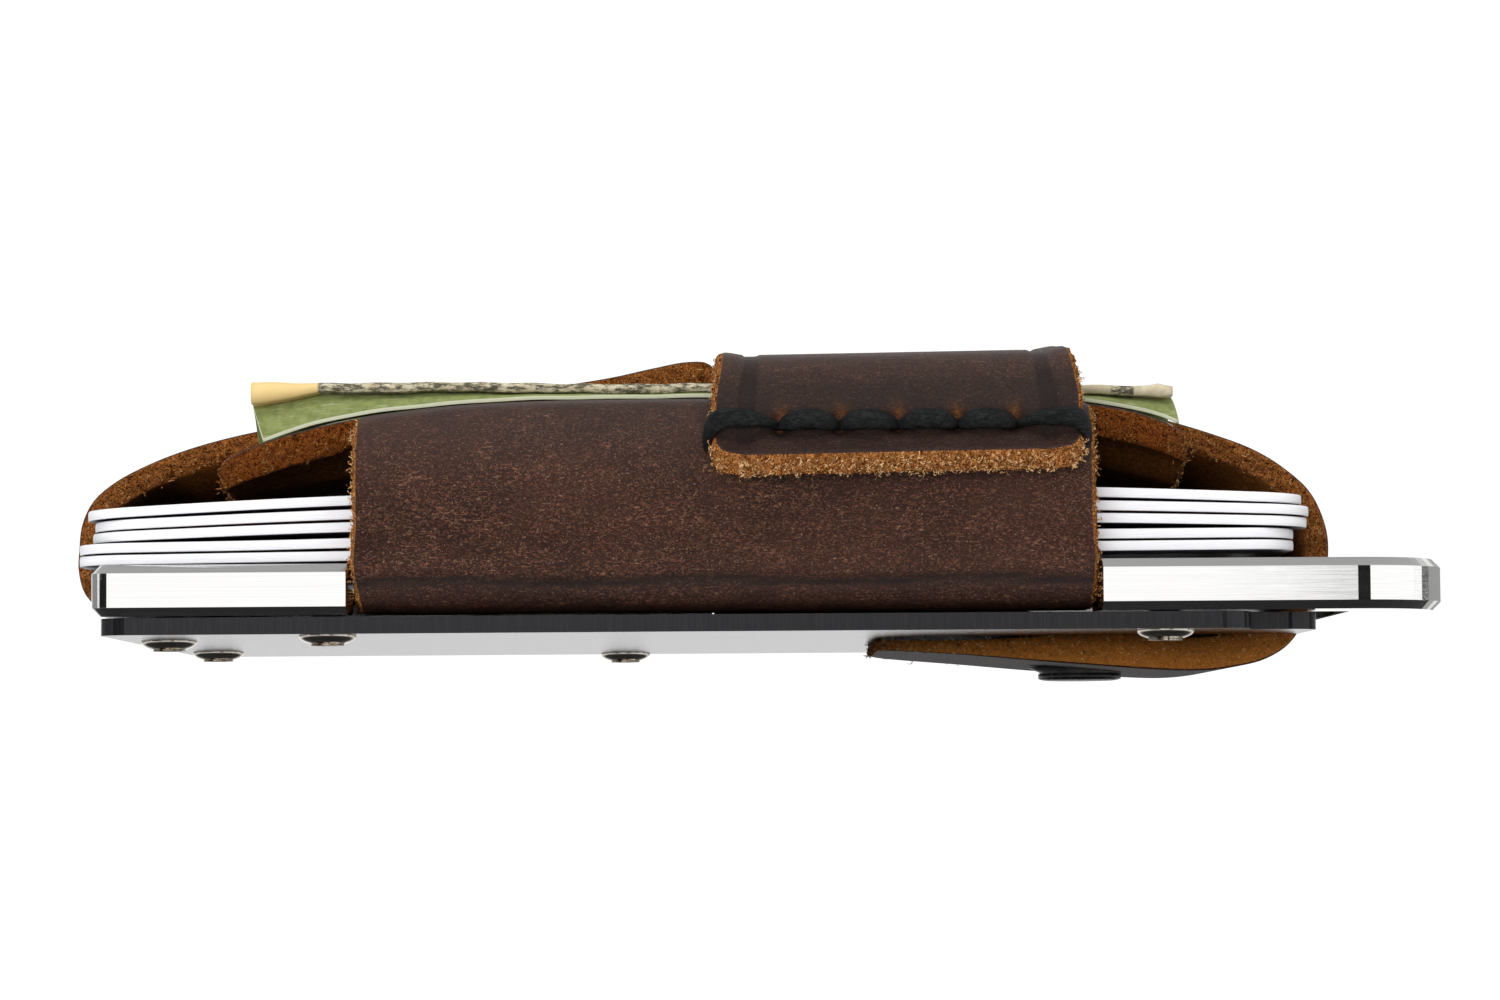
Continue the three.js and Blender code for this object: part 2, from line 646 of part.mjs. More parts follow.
function lacePieces(radius) {
  const [leftEnd, rightEnd] = LACE_ENDS;
  const behind = (x) => new THREE.Vector3(x, LACE_BEHIND, LACE_INNER_HEIGHT);
  const passes = LACE_HOLES.map(
    (x) => rod(new THREE.Vector3(x, LACE_FACE, LACE_HEIGHT), behind(x), radius),
  );
  return [
    tube(laceOutside(), radius, 40),
    ...passes,
    rod(behind(leftEnd - radius), behind(rightEnd + radius), radius),
  ];
}

const LACE_CHANNELS = lacePieces(CORD_RADIUS + CLEARANCE);

addMesh('card_wrap', cut(makeWrap(), LACE_CHANNELS), BROWN_LEATHER);
addMesh('note_band', cut(makeBand(), LACE_CHANNELS), BROWN_LEATHER);
addMesh('lacing_cord', join(lacePieces(CORD_RADIUS)), CORD_BLACK);

// --------------------------------------------------------------------- cards

function makeCard(level) {
  const left = CARD_LEFTS[level];
  const arc = even(0, 1, 4).map((t) => CARD_RADIUS * (1 - Math.cos((t * Math.PI) / 2)));
  const inner = even(CARD_RADIUS, CARD_LENGTH - CARD_RADIUS, 8).slice(1, -1);
  const stations = [...arc, ...inner, ...arc.map((d) => CARD_LENGTH - d).reverse()];
  return sheet(stations.length, 2, (i, j) => {
    const along = stations[i];
    const fromEnd = Math.min(along, CARD_LENGTH - along);
    const inset = cornerInset(CARD_RADIUS, fromEnd);
    const y = j === 0 ? CARD_NEAR + inset : CARD_NEAR + CARD_WIDTH - inset;
    const arch = 1 - (2 * along / CARD_LENGTH - 1) ** 2;
    const pitch = mix(CARD_PITCH_AT_ENDS, CARD_PITCH_IN_MIDDLE, arch);
    const rise = CARD_STACK_RISE * (along / CARD_LENGTH);
    const z = CARD_STACK_BOTTOM + rise + level * pitch + CARD_BOW * arch * (level > 0 ? 1 : 0.4);
    return [[left + along, y, z + CARD_THICKNESS], [left + along, y, z]];
  });
}

CARD_LEFTS.forEach((_, level) => {
  addMesh(`card_${level + 1}`, makeCard(level), WHITE_PLASTIC);
});

// --------------------------------------------------------------------- notes

// The under note lies on the wrap and the top note spans it straight, so the ends
// stand fanned open beside the strap. Under the strap all of them are pressed flat.
function noteLevel(x, y, layer) {
  const lift = layer * (NOTE_THICKNESS + NOTE_GAP);
  const onWrap = wrapNearTop(x) + NOTE_GAP;
  const crest = NOTE_TOP - NOTE_TOP_FALL * (x - NOTE_LEFT) / (NOTE_RIGHT - NOTE_LEFT);
  const spread = Math.max(crest - 2 * (NOTE_THICKNESS + NOTE_GAP) - onWrap, 0) * (layer / 2);
  const pressedDown = wrapPressedTop(x) + NOTE_GAP;
  return mix(onWrap + spread, pressedDown, pressed(y)) + lift;
}

function makeNote(layer) {
  const xs = even(NOTE_LEFT + 0.5 * layer, NOTE_RIGHT - 0.3 * layer, 12);
  const ys = [...even(NOTE_NEAR + 0.4 * layer, -15, 5), 0, NOTE_FAR];
  return sheet(xs.length, ys.length, (i, j) => {
    const z = noteLevel(xs[i], ys[j], layer);
    return [[xs[i], ys[j], z + NOTE_THICKNESS], [xs[i], ys[j], z]];
  });
}

addMesh('note_lower', makeNote(0), GREEN_PAPER);
addMesh('note_middle', makeNote(1), GREEN_PAPER);
addMesh('note_upper', makeNote(2), CREAM_PAPER);

// ----------------------------------------------------------------- placement

const bounds = new THREE.Box3().setFromObject(assembly);
const middle = bounds.getCenter(new THREE.Vector3());
assembly.position.set(-middle.x, -middle.y, -bounds.min.z);

const part = new THREE.Group();
part.add(assembly);

export default part;
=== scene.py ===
"""The finished look of the metal-framed leather money clip, built round its CAD frame."""

import math

import bpy
import numpy as np
from mathutils import Matrix, Vector


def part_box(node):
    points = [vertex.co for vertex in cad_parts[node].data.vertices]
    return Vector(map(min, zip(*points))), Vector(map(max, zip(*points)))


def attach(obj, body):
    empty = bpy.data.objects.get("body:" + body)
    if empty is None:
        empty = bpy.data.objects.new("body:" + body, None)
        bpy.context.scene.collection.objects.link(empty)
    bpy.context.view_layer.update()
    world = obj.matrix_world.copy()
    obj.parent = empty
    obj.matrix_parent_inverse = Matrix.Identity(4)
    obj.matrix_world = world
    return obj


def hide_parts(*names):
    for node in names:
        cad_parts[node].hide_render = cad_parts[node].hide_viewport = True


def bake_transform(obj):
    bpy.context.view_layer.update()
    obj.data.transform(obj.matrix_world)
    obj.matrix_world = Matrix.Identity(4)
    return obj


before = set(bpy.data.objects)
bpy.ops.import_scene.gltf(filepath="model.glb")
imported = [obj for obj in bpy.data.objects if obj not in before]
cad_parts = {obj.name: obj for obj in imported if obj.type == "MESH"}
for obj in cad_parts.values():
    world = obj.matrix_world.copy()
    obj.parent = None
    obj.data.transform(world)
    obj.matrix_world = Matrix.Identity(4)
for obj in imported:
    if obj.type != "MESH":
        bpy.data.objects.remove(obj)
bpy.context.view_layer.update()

# ---------------------------------------------------------------- dimensions
# Millimetres, laid out as the CAD lays them: X from the frame's left end, Y from its
# centre line towards the far side, Z from the underside of the back plate.

MM = 0.001
FRAME_LENGTH = 94.9
FRAME_WIDTH = 63.0
HALF_WIDTH = FRAME_WIDTH / 2
FRAME_BOTTOM = 1.3
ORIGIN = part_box("frame")[0] - Vector((0.0, -HALF_WIDTH, FRAME_BOTTOM)) * MM

LEATHER = 1.7
SKIVE = 0.32              # how far a cut edge slopes in towards the grain side
EDGE_RINGS = (            # depth from the grain side as a share, and bulge outwards
    (0.05, 0.09), (0.14, 0.15), (0.28, 0.17), (0.42, 0.18),
    (0.56, 0.17), (0.70, 0.15), (0.84, 0.11), (0.95, 0.06),
)
FIBRE_LENGTH = 0.60
FIBRE_RADIUS = 0.046
PANEL_EDGE_HANG = 0.55    # how far the panel's nap side sags at its near edge
STRAP_CUP = 1.7           # how far the strap is hollowed across its free runs
WRAP_LEFT, WRAP_RIGHT = 18.4, 69.9
WRAP_CENTRE = (WRAP_LEFT + WRAP_RIGHT) / 2
WRAP_HALF = (WRAP_RIGHT - WRAP_LEFT) / 2
WRAP_ROOT_INSET = 0.225   # how far the left edge leans in at the root
WRAP_SPREAD = 0.45        # how far both edges spread where the recess squeezes them
PANEL_LEFT, PANEL_RIGHT = 8.3, 77.1
PANEL_NEAR, PANEL_FAR = -25.8, 24.0
PANEL_RADIUS = 3.5
PANEL_MIDDLE = 44.0
PANEL_TOP = 16.6
BAND_LEFT, BAND_RIGHT = 43.4, 68.9
BAND_CORNER_RADIUS = 1.9
STRAP_HALF_WIDTH = 14.5
TAIL_TIP_RADIUS = 6.0
TAIL_TIP_THICKNESS = 0.8
STRAP_SPLIT_HEIGHT = 5.0

CARD_LENGTH, CARD_WIDTH = 85.6, 54.0
CARD_SHEET = 0.68         # a card less the slight gaps between cards
CARD_RADIUS = 3.18
CARD_NEAR = -29.5
CARD_STACK_BOTTOM = 4.95
CARD_STACK_RISE = 0.6
CARD_LEFTS = [-1.3, -1.3, -0.35, -0.2, -0.7]
CARD_PITCH_AT_ENDS, CARD_PITCH_IN_MIDDLE = 0.8, 1.0
CARD_LIFTS = (0.0, -0.14, 0.06, 0.02, 0.04)
CARD_BOW = 0.25

NOTE_LEFT, NOTE_RIGHT = 10.4, 76.3
NOTE_NEAR, NOTE_FAR = -23.4, 18.0
NOTE_TOP = 18.3
NOTE_KNOB = 75.3          # where the roll swells, near its right end
NOTE_TOP_FALL = 0.65
NOTE_PACK = 1.23          # the notes' depth where the strap presses them together
PAPER = 0.13

LACE_HEIGHT = 14.2
LACE_FACE = -34.85
LACE_HOLES = [47.9, 52.1, 56.2, 60.3, 64.4]
CORD_DEPTH = 0.85

SCREW_INSET = 3.5
SCREW_HEAD_RADIUS, SCREW_HEAD_HEIGHT = 2.05, 0.85
SOCKET_RADIUS, SOCKET_FLOOR = 1.08, 0.3
SCREW_SHANK_RADIUS, SCREW_TOP = 1.05, 4.2
PLATE_BOTTOM = 0.1
SNAP_X = 71.2
SNAP_BOTTOM, SNAP_CAP_RADIUS = -3.05, 3.15

# Outer faces of the leather, as points that a smooth curve runs through.
STRAP_OUTER = [
    (8.6, 1.5), (4.5, 1.5), (1.3, 1.5), (-1.0, 2.1), (-2.6, 3.4), (-3.15, 5.2), (-3.1, 6.9),
    (-2.9, 8.6), (-2.1, 10.3), (-0.5, 11.7), (2.2, 13.1), (5.5, 14.3), (10, 15.4), (18, 16.7),
    (26, 17.75), (32.5, 18.65), (36, 19.2), (39, 19.85), (41.5, 20.3),
    (43.0, 20.2), (43.7, 19.5), (44.5, 18.95), (47, 18.9), (51, 18.8), (58, 18.6),
    (65, 17.95), (71.5, 16.95), (76, 15.95), (80, 14.75), (83, 13.6),
    (85.2, 12.25), (87.2, 10.35), (88.3, 7.7), (88.4, 5.5), (87.9, 3.2), (86.8, 1.2),
    (85.4, -0.75), (83.7, -1.8), (81.5, -2.35), (79, -2.6), (75.5, -2.5), (70.9, -2.15),
    (67.3, -1.85), (61.8, -1.35), (55.6, -0.9),
]
WRAP_OUTER = [
    (-24.4, 1.5), (-27, 1.5), (-29.1, 1.5), (-30.6, 2.1), (-31.25, 3.4), (-31.6, 5.65),
    (-32.3, 8.65), (-32.5, 11.65), (-31.9, 14.05), (-30.2, 15.9), (-27.6, 16.5),
    (PANEL_NEAR, PANEL_TOP),
]
BAND_OUTER = [
    (-36.75, 12.15), (-35.85, 12.75), (-35.1, 13.6), (-34.65, 14.7), (-34.3, 16.3),
    (-33.3, 17.9), (-31.5, 19.0), (-28.5, 19.6), (-24, 20.0), (-16, 20.75), (-6, 21.1),
    (6, 21.1), (16, 20.75), (24, 19.6), (29.5, 17.6), (32.4, 14.9), (33.0, 11.0), (32.6, 7.2),
    (31.6, 4.6), (30.6, 2.3), (29.1, 1.5), (27, 1.5), (24.4, 1.5),
]

chance = np.random.default_rng(7)


# -------------------------------------------------------------------- camera

EYE = (44.2, -344.0, -9.35)
LENS_MM = 108.0
PITCH_UP = math.radians(3.38)
YAW_RIGHT = math.radians(0.32)
ROLL = math.radians(0.40)


def place(x, y, z):
    """A point given in the CAD's layout, in metres in the row frame."""
    return ORIGIN + Vector((x, y, z)) * MM


def add_camera():
    data = bpy.data.cameras.new("camera")
    data.lens = LENS_MM
    data.sensor_width = 36.0
    data.clip_start = 0.01
    camera = bpy.data.objects.new("camera", data)
    bpy.context.scene.collection.objects.link(camera)
    level = Matrix.Rotation(math.radians(90), 4, "X")
    turn = Matrix.Rotation(-YAW_RIGHT, 4, "Z")
    pitch = Matrix.Rotation(PITCH_UP, 4, "X")
    roll = Matrix.Rotation(-ROLL, 4, "Z")
    camera.matrix_world = Matrix.Translation(place(*EYE)) @ turn @ pitch @ level @ roll
    bpy.context.scene.camera = camera


add_camera()


# ----------------------------------------------------------- material helpers

class Shader:
    """A node material, with short calls to add the nodes its surface needs."""

    def __init__(self, name):
        self.material = bpy.data.materials.new(name)
        self.material.use_nodes = True
        self.tree = self.material.node_tree
        self.surface = self.tree.nodes["Principled BSDF"]
        self.position = self.node("TexCoord").outputs["Object"]

    def plug(self, value, socket):
        """Gives an input a link from another node, or a number, colour or vector."""
        if isinstance(value, bpy.types.NodeSocket):
            self.tree.links.new(value, socket)
        elif socket.type == "RGBA":
            socket.default_value = (*value, 1.0)
        else:
            socket.default_value = value

    def node(self, kind, **inputs):
        """A new node, with its inputs given by name."""
        node = self.tree.nodes.new("ShaderNode" + kind)
        for name, value in inputs.items():
            self.plug(value, node.inputs[name.replace("_", " ")])
        return node

    def set(self, **inputs):
        """Gives inputs of the surface by name."""
        for name, value in inputs.items():
            self.plug(value, self.surface.inputs[name.replace("_", " ")])
        return self

    def scaled(self, scale):
        """Object coordinates in millimetres, times one scale or a scale for each axis."""
        scales = scale if isinstance(scale, tuple) else (scale, scale, scale)
        by_axis = [each / MM for each in scales]
        return self.node("Mapping", Vector=self.position, Scale=by_axis).outputs["Vector"]

    def noise(self, scale, detail=4.0, roughness=0.55, distortion=0.0):
        return self.node(
            "TexNoise", Vector=self.scaled(scale), Scale=1.0, Detail=detail,
            Roughness=roughness, Distortion=distortion,
        ).outputs["Fac"]

    def cells(self, scale):
        return self.node("TexVoronoi", Vector=self.scaled(scale), Scale=1.0).outputs["Distance"]

    def ramp(self, value, low, high, low_to=0.0, high_to=1.0):
        """value between low and high, spread smoothly over low_to to high_to."""
        node = self.node(
            "MapRange", Value=value, From_Min=low, From_Max=high, To_Min=low_to, To_Max=high_to,
        )
        node.interpolation_type = "SMOOTHSTEP"
        return node.outputs["Result"]

    def math(self, operation, a, b):
        node = self.node("Math")
        node.operation = operation
        for value, socket in zip((a, b), node.inputs):
            self.plug(value, socket)
        return node.outputs["Value"]

    def times(self, a, b):
        return self.math("MULTIPLY", a, b)

    def mix(self, factor, a, b, blend="MIX"):
        node = self.node("Mix", Factor=factor)
        node.data_type = "RGBA"
        node.blend_type = blend
        colours = [socket for socket in node.inputs if socket.type == "RGBA"]
        for value, socket in zip((a, b), colours):
            self.plug(value, socket)
        return [socket for socket in node.outputs if socket.type == "RGBA"][0]

    def layer(self, base, value, low, high, colour, strength=1.0):
        """base, covered by a colour as value goes from low to high."""
        return self.mix(self.ramp(value, low, high, 0.0, strength), base, colour)

    def tones(self, value, low, high, dark, light):
        """A colour that goes from dark to light as value goes from low to high."""
        return self.mix(self.ramp(value, low, high), dark, light)

    def axis(self, name):
        """One object coordinate, in millimetres in the CAD's layout."""
        split = self.node("SeparateXYZ", Vector=self.position)
        moved = self.math("ADD", split.outputs[name], -ORIGIN["XYZ".index(name)])
        return self.times(moved, 1 / MM)

    def painted_shade_inside(self):
        """Painted shade: more where the leather lies inside, under the straps and panel, out of the
        light; none underneath.
        """
        inside = self.ramp(self.axis("Y"), -29.5, -25.5)
        middle = self.ramp(self.axis("Y"), -25.0, -16.0, 0.95, 0.55)
        above = self.ramp(self.axis("Z"), -0.5, 4.0)
        return self.times(self.times(inside, middle), above)

    def painted_light_under_plate(self):
        """Painted light: more where the tail hangs clear under the plate, brightening its edge."""
        return self.ramp(self.axis("Z"), 0.6, -0.4, 0.0, 0.5)

    def attribute(self, name):
        node = self.node("Attribute")
        node.attribute_name = name
        return node.outputs["Fac"]

    def colour(self, value):
        self.set(Base_Color=value)

    def roughness(self, value, least, most):
        self.set(Roughness=self.ramp(value, 0.3, 0.7, least, most))

    def bump(self, *heights):
        """Relief from (value, depth in millimetres) pairs, laid one on another."""
        for value, depth in heights:
            node = self.node("Bump", Height=value, Distance=depth * MM)
            for link in self.surface.inputs["Normal"].links:
                self.plug(link.from_socket, node.inputs["Normal"])
            self.set(Normal=node.outputs["Normal"])
        return self


def brushed_steel():
    s = Shader("brushed_steel").set(Metallic=1.0)
    fine = s.noise((0.05, 0.9, 26), 3)
    broad = s.noise((0.08, 0.3, 5), 2)
    s.colour(s.tones(fine, 0.3, 0.75, (0.88, 0.875, 0.865), (0.97, 0.965, 0.955)))
    s.roughness(broad, 0.05, 0.10)
    return s.bump((fine, 0.0025)).material


def black_coating():
    s = Shader("black_coating").set(Specular_IOR_Level=0.28)
    marks = s.noise((7, 7, 0.3), 3)
    grains = s.noise(14, 2)
    s.colour(s.tones(marks, 0.4, 0.75, (0.009, 0.009, 0.011), (0.018, 0.018, 0.020)))
    s.roughness(grains, 0.13, 0.22)
    return s.bump((marks, 0.004), (grains, 0.002)).material


def nickel():
    s = Shader("nickel").set(Metallic=1.0)
    tarnish = s.noise(1.6, 5)
    s.colour(s.tones(tarnish, 0.35, 0.7, (0.78, 0.73, 0.65), (0.60, 0.54, 0.46)))
    s.roughness(tarnish, 0.08, 0.20)
    return s.bump((s.noise(9, 3), 0.004)).material


def grain_leather():
    """Oiled brown grain side: fine pores, reddish specks, paler where it is bent, a painted grey sheen
    towards the top, and darker where pressed, which on the wrap is painted shade in its crease and
    near the plate.
    """
    s = Shader("leather_grain").set(Specular_IOR_Level=0.22, Coat_Weight=0.10, Coat_Roughness=0.42)
    broad = s.noise((0.09, 0.13, 0.13), 4)
    patches = s.ramp(s.noise((0.35, 0.5, 0.5), 3), 0.35, 0.65, 0.45, 1.0)
    specks = s.noise((4.4, 8.5, 8.5), 5, 0.68)
    dust = s.noise((7.5, 9.0, 9.0), 3, 0.6)
    scratches = s.noise((1.8, 7.0, 7.0), 5, 0.68, 0.4)
    pores = s.cells(3.4)
    base = s.tones(broad, 0.3, 0.7, (0.025, 0.0092, 0.0060), (0.045, 0.0165, 0.0105))
    reddish = s.times(patches, s.ramp(specks, 0.50, 0.60, 0.0, 1.0))
    base = s.mix(reddish, base, (0.150, 0.056, 0.032))
    tan = s.times(patches, s.ramp(scratches, 0.57, 0.70, 0.0, 0.75))
    base = s.mix(tan, base, (0.40, 0.20, 0.115))
    base = s.layer(base, dust, 0.60, 0.70, (0.42, 0.25, 0.16), 0.6)
    for value, clear, full in ((dust, 0.42, 0.30), (pores, 0.24, 0.0)):
        base = s.layer(base, value, clear, full, (0.014, 0.007, 0.0055), 0.7)
    # Painted sheen: greyer towards the top, standing in for light from above.
    base = s.layer(base, s.axis("Z"), 9.5, 15.5, (0.046, 0.034, 0.030), 0.45)
    worn = s.attribute("worn")
    patchy = s.times(worn, s.ramp(specks, 0.36, 0.60, 0.2, 1.0))
    base = s.mix(patchy, base, (0.36, 0.135, 0.045))
    # Painted shade where the wrap is creased and near the plate, and a darker pressed finish on the
    # band.
    base = s.mix(s.attribute("pressed_and_shade"), base, (0.016, 0.0105, 0.0095))
    s.colour(base)
    s.roughness(specks, 0.46, 0.66)
    wrinkles = s.noise((0.6, 1.5, 1.5), 4, 0.6, 0.4)
    return s.bump((wrinkles, 0.07), (specks, 0.06), (pores, 0.04)).material


def suede_leather():
    """Flesh side: short tan nap."""
    s = Shader("leather_suede").set(Roughness=0.95, Specular_IOR_Level=0.15)
    s.set(Sheen_Weight=0.08, Sheen_Roughness=0.5, Sheen_Tint=(0.75, 0.40, 0.18))
    nap = s.noise(3.2, 6, 0.7, 1.2)
    broad = s.noise(0.25, 3)
    base = s.tones(nap, 0.35, 0.66, (0.115, 0.034, 0.006), (0.47, 0.165, 0.036))
    s.colour(s.layer(base, broad, 0.35, 0.7, (0.21, 0.066, 0.012), 0.4))
    return s.bump((nap, 0.20)).material


def raw_edge():
    """Cut edge: a mat of tan fibres, with painted shade in the gaps between them, painted shade inside
    under the straps, and painted light where the tail hangs under the plate.
    """
    s = Shader("leather_edge").set(Roughness=0.95, Specular_IOR_Level=0.12)
    nap = s.noise(4.5, 6, 0.75, 2.0)
    gaps = s.noise((2.2, 3.0, 3.0), 3, 0.6, 1.0)
    base = s.tones(nap, 0.42, 0.58, (0.090, 0.022, 0.003), (0.86, 0.35, 0.10))
    # Painted shade in the gaps between the fibres.
    base = s.layer(base, gaps, 0.44, 0.32, (0.050, 0.012, 0.002), 0.8)
    # Painted light: brighter and more orange where the tail hangs clear under the plate.
    base = s.mix(s.painted_light_under_plate(), base, (0.92, 0.33, 0.05))
    # Painted shade: darker and warmer inside, under the straps and panel.
    s.colour(s.mix(s.painted_shade_inside(), base, (0.42, 0.29, 0.15), "MULTIPLY"))
    return s.bump((nap, 0.25)).material


def leather_fibre():
    s = Shader("leather_fibre").set(Roughness=0.85, Specular_IOR_Level=0.2)
    tone = s.noise(2.6, 3)
    base = s.tones(tone, 0.40, 0.58, (0.20, 0.055, 0.010), (1.0, 0.64, 0.30))
    # Painted shade: darker and warmer inside, under the straps and panel.
    s.colour(s.mix(s.painted_shade_inside(), base, (0.42, 0.29, 0.15), "MULTIPLY"))
    return s.material


def waxed_cord():
    s = Shader("waxed_cord").set(Specular_IOR_Level=0.18)
    strands = s.noise((1.2, 5.5, 5.5), 4, 0.6, 1.5)
    dust = s.noise(5, 4, 0.7)
    base = s.tones(strands, 0.35, 0.7, (0.005, 0.0055, 0.006), (0.024, 0.025, 0.026))
    s.colour(s.layer(base, dust, 0.62, 0.8, (0.12, 0.13, 0.125), 0.5))
    s.roughness(strands, 0.42, 0.62)
    return s.bump((strands, 0.14), (s.attribute("braid"), 0.02)).material


def card_core():
    """White plastic core, seen at the cut edges."""
    s = Shader("card_core").set(Specular_IOR_Level=0.4)
    tone = s.noise((0.4, 0.4, 9), 3)
    s.colour(s.tones(tone, 0.3, 0.7, (0.86, 0.86, 0.90), (0.93, 0.93, 0.95)))
    s.roughness(tone, 0.32, 0.46)
    return s.bump((s.noise((6, 6, 20), 2), 0.006)).material


def card_face(name, tone):
    """A card's printed face: one plain colour under a gloss film, finely scuffed."""
    s = Shader(name).set(Specular_IOR_Level=0.5)
    scuffs = s.noise((1.1, 4.0, 1.0), 5, 0.6)
    lighter = tuple(0.7 * channel + 0.06 for channel in tone)
    s.colour(s.layer(tone, scuffs, 0.55, 0.8, lighter, 0.7))
    s.roughness(scuffs, 0.22, 0.42)
    return s.bump((scuffs, 0.004)).material


def note_paper(name, tone_a, tone_b, edge_tone, speckled=False):
    """Soft rag paper. Its near edge is paler than its faces."""
    s = Shader(name).set(Roughness=0.85, Specular_IOR_Level=0.2)
    pulp = s.noise(1.4, 5, 0.6)
    lines = s.noise((0.5, 5.5, 5.5), 3)
    base = s.tones(pulp, 0.3, 0.7, tone_a, tone_b)
    base = s.layer(base, lines, 0.52, 0.7, edge_tone, 0.3)
    if speckled:
        along = s.axis("X")
        start = s.ramp(along, 15.0, 15.2)
        end = s.ramp(along, 66.0, 71.0, 1.0, 0.0)
        patch = s.times(s.ramp(along, 71.7, 71.9), s.ramp(along, 73.4, 73.6, 1.0, 0.0))
        printed = s.math("MAXIMUM", s.times(start, end), patch)
        flecks = s.ramp(s.noise((1.3, 3.5, 3.5), 6, 0.78), 0.42, 0.58)
        base = s.mix(s.times(printed, flecks), base, (0.10, 0.09, 0.06))
        base = s.layer(base, along, 15.3, 15.0, (0.86, 0.62, 0.26), 0.9)
    s.colour(s.mix(s.attribute("rim"), base, edge_tone))
    return s.bump((pulp, 0.05)).material


def black_enamel():
    s = Shader("black_enamel").set(Specular_IOR_Level=0.5)
    wear = s.noise(3, 5, 0.65)
    s.colour(s.tones(wear, 0.45, 0.75, (0.014, 0.014, 0.015), (0.045, 0.044, 0.043)))
    s.roughness(wear, 0.24, 0.46)
    return s.bump((wear, 0.02)).material


STEEL = brushed_steel()
COATING = black_coating()
NICKEL = nickel()
GRAIN = grain_leather()
SUEDE = suede_leather()
EDGE = raw_edge()
FIBRE = leather_fibre()
CORD = waxed_cord()
CARD_CORE = card_core()
CARD_FACES = [
    card_face("card_face_slate", (0.030, 0.034, 0.040)),
    card_face("card_face_moss", (0.022, 0.030, 0.020)),
    card_face("card_face_black", (0.016, 0.016, 0.018)),
    card_face("card_face_rust", (0.070, 0.022, 0.012)),
    card_face("card_face_navy", (0.020, 0.024, 0.040)),
]
ENAMEL = black_enamel()
GREEN_NOTE = note_paper("green_note", (0.19, 0.23, 0.075), (0.28, 0.32, 0.115), (0.62, 0.64, 0.46))
CREAM_NOTE = note_paper(
    "cream_note", (0.58, 0.50, 0.33), (0.72, 0.65, 0.48), (0.80, 0.75, 0.62), speckled=True,
)


# --------------------------------------------------------------- mesh helpers

def smoothstep(x, low, high):
    t = np.clip((np.asarray(x, float) - low) / (high - low), 0, 1)
    return t * t * (3 - 2 * t)


def mix(a, b, t):
    return a + (b - a) * t


def bell(x, centre, width):
    return np.exp(-((np.asarray(x, float) - centre) / width) ** 2)


def unit(vectors):
    """Vectors at length 1; a zero vector stays zero."""
    return vectors / (np.linalg.norm(vectors, axis=-1, keepdims=True) + 1e-9)


def corner_inset(radius, distance):
    """How far a rounded corner pulls an edge in, at a distance from the corner's end."""
    rest = np.maximum(0, radius - np.maximum(0, distance))
    return radius - np.sqrt(radius ** 2 - rest ** 2)


def smooth_curve(points, steps):
    """Points evenly spaced on a centripetal Catmull-Rom curve, and the way it runs at each."""
    points = np.array(points, float)
    padded = np.vstack([2 * points[0] - points[1], points, 2 * points[-1] - points[-2]])
    fine = np.linspace(0, 1, 24, endpoint=False)[:, None]
    dense = []
    for before, start, end, after in zip(padded, padded[1:], padded[2:], padded[3:]):
        gap0, gap1, gap2 = (
            math.sqrt(np.linalg.norm(b - a))
            for a, b in ((before, start), (start, end), (end, after))
        )
        leave = (start - before) / gap0 - (end - before) / (gap0 + gap1) + (end - start) / gap1
        arrive = (end - start) / gap1 - (after - start) / (gap1 + gap2) + (after - end) / gap2
        leave, arrive = leave * gap1, arrive * gap1
        dense.append(
            (2 * fine ** 3 - 3 * fine ** 2 + 1) * start
            + (fine ** 3 - 2 * fine ** 2 + fine) * leave
            + (3 * fine ** 2 - 2 * fine ** 3) * end
            + (fine ** 3 - fine ** 2) * arrive
        )
    dense = np.vstack([*dense, points[-1:]])
    reach = np.concatenate([[0], np.cumsum(np.linalg.norm(np.diff(dense, axis=0), axis=1))])
    even = np.linspace(0, reach[-1], steps + 1)
    at = np.column_stack([np.interp(even, reach, dense[:, k]) for k in range(dense.shape[1])])
    return at, unit(np.gradient(at, axis=0))


def profile_curve(points, steps):
    """A leather piece's outer line, and the direction square to it, into the leather."""
    at, along = smooth_curve(points, steps)
    return at, np.column_stack([along[:, 1], -along[:, 0]])


def across_columns(columns, path):
    """x, y and z of every point of a path in Y and Z, repeated at each column in X."""
    x = np.tile(columns[:, None], (1, len(path)))
    y, z = (np.tile(path[:, k], (len(columns), 1)) for k in range(2))
    return x, y, z


def make_object(name, vertices, faces, materials, face_materials=None, attributes=None):
    """A mesh object from points in the CAD's layout, smooth shaded."""
    mesh = bpy.data.meshes.new(name)
    points = np.asarray(vertices, float) * MM + np.array(ORIGIN)
    mesh.from_pydata(points.tolist(), [], [list(map(int, face)) for face in faces])
    for material in materials:
        mesh.materials.append(material)
    if face_materials is not None:
        mesh.polygons.foreach_set("material_index", np.asarray(face_materials, np.int32))
    mesh.polygons.foreach_set("use_smooth", np.ones(len(mesh.polygons), bool))
    for label, values in (attributes or {}).items():
        layer = mesh.attributes.new(label, "FLOAT", "POINT")
        layer.data.foreach_set("value", np.asarray(values, np.float32))
    mesh.update()
    obj = bpy.data.objects.new(name, mesh)
    bpy.context.scene.collection.objects.link(obj)
    return obj


def grid_faces(columns, rows, keep=None):
    """Four-sided faces over a grid of points, or over the cells of it that keep marks."""
    number = np.arange(columns * rows).reshape(columns, rows).tolist()
    return [
        [number[i][j], number[i + 1][j], number[i + 1][j + 1], number[i][j + 1]]
        for i in range(columns - 1) for j in range(rows - 1) if keep is None or keep[i, j]
    ]


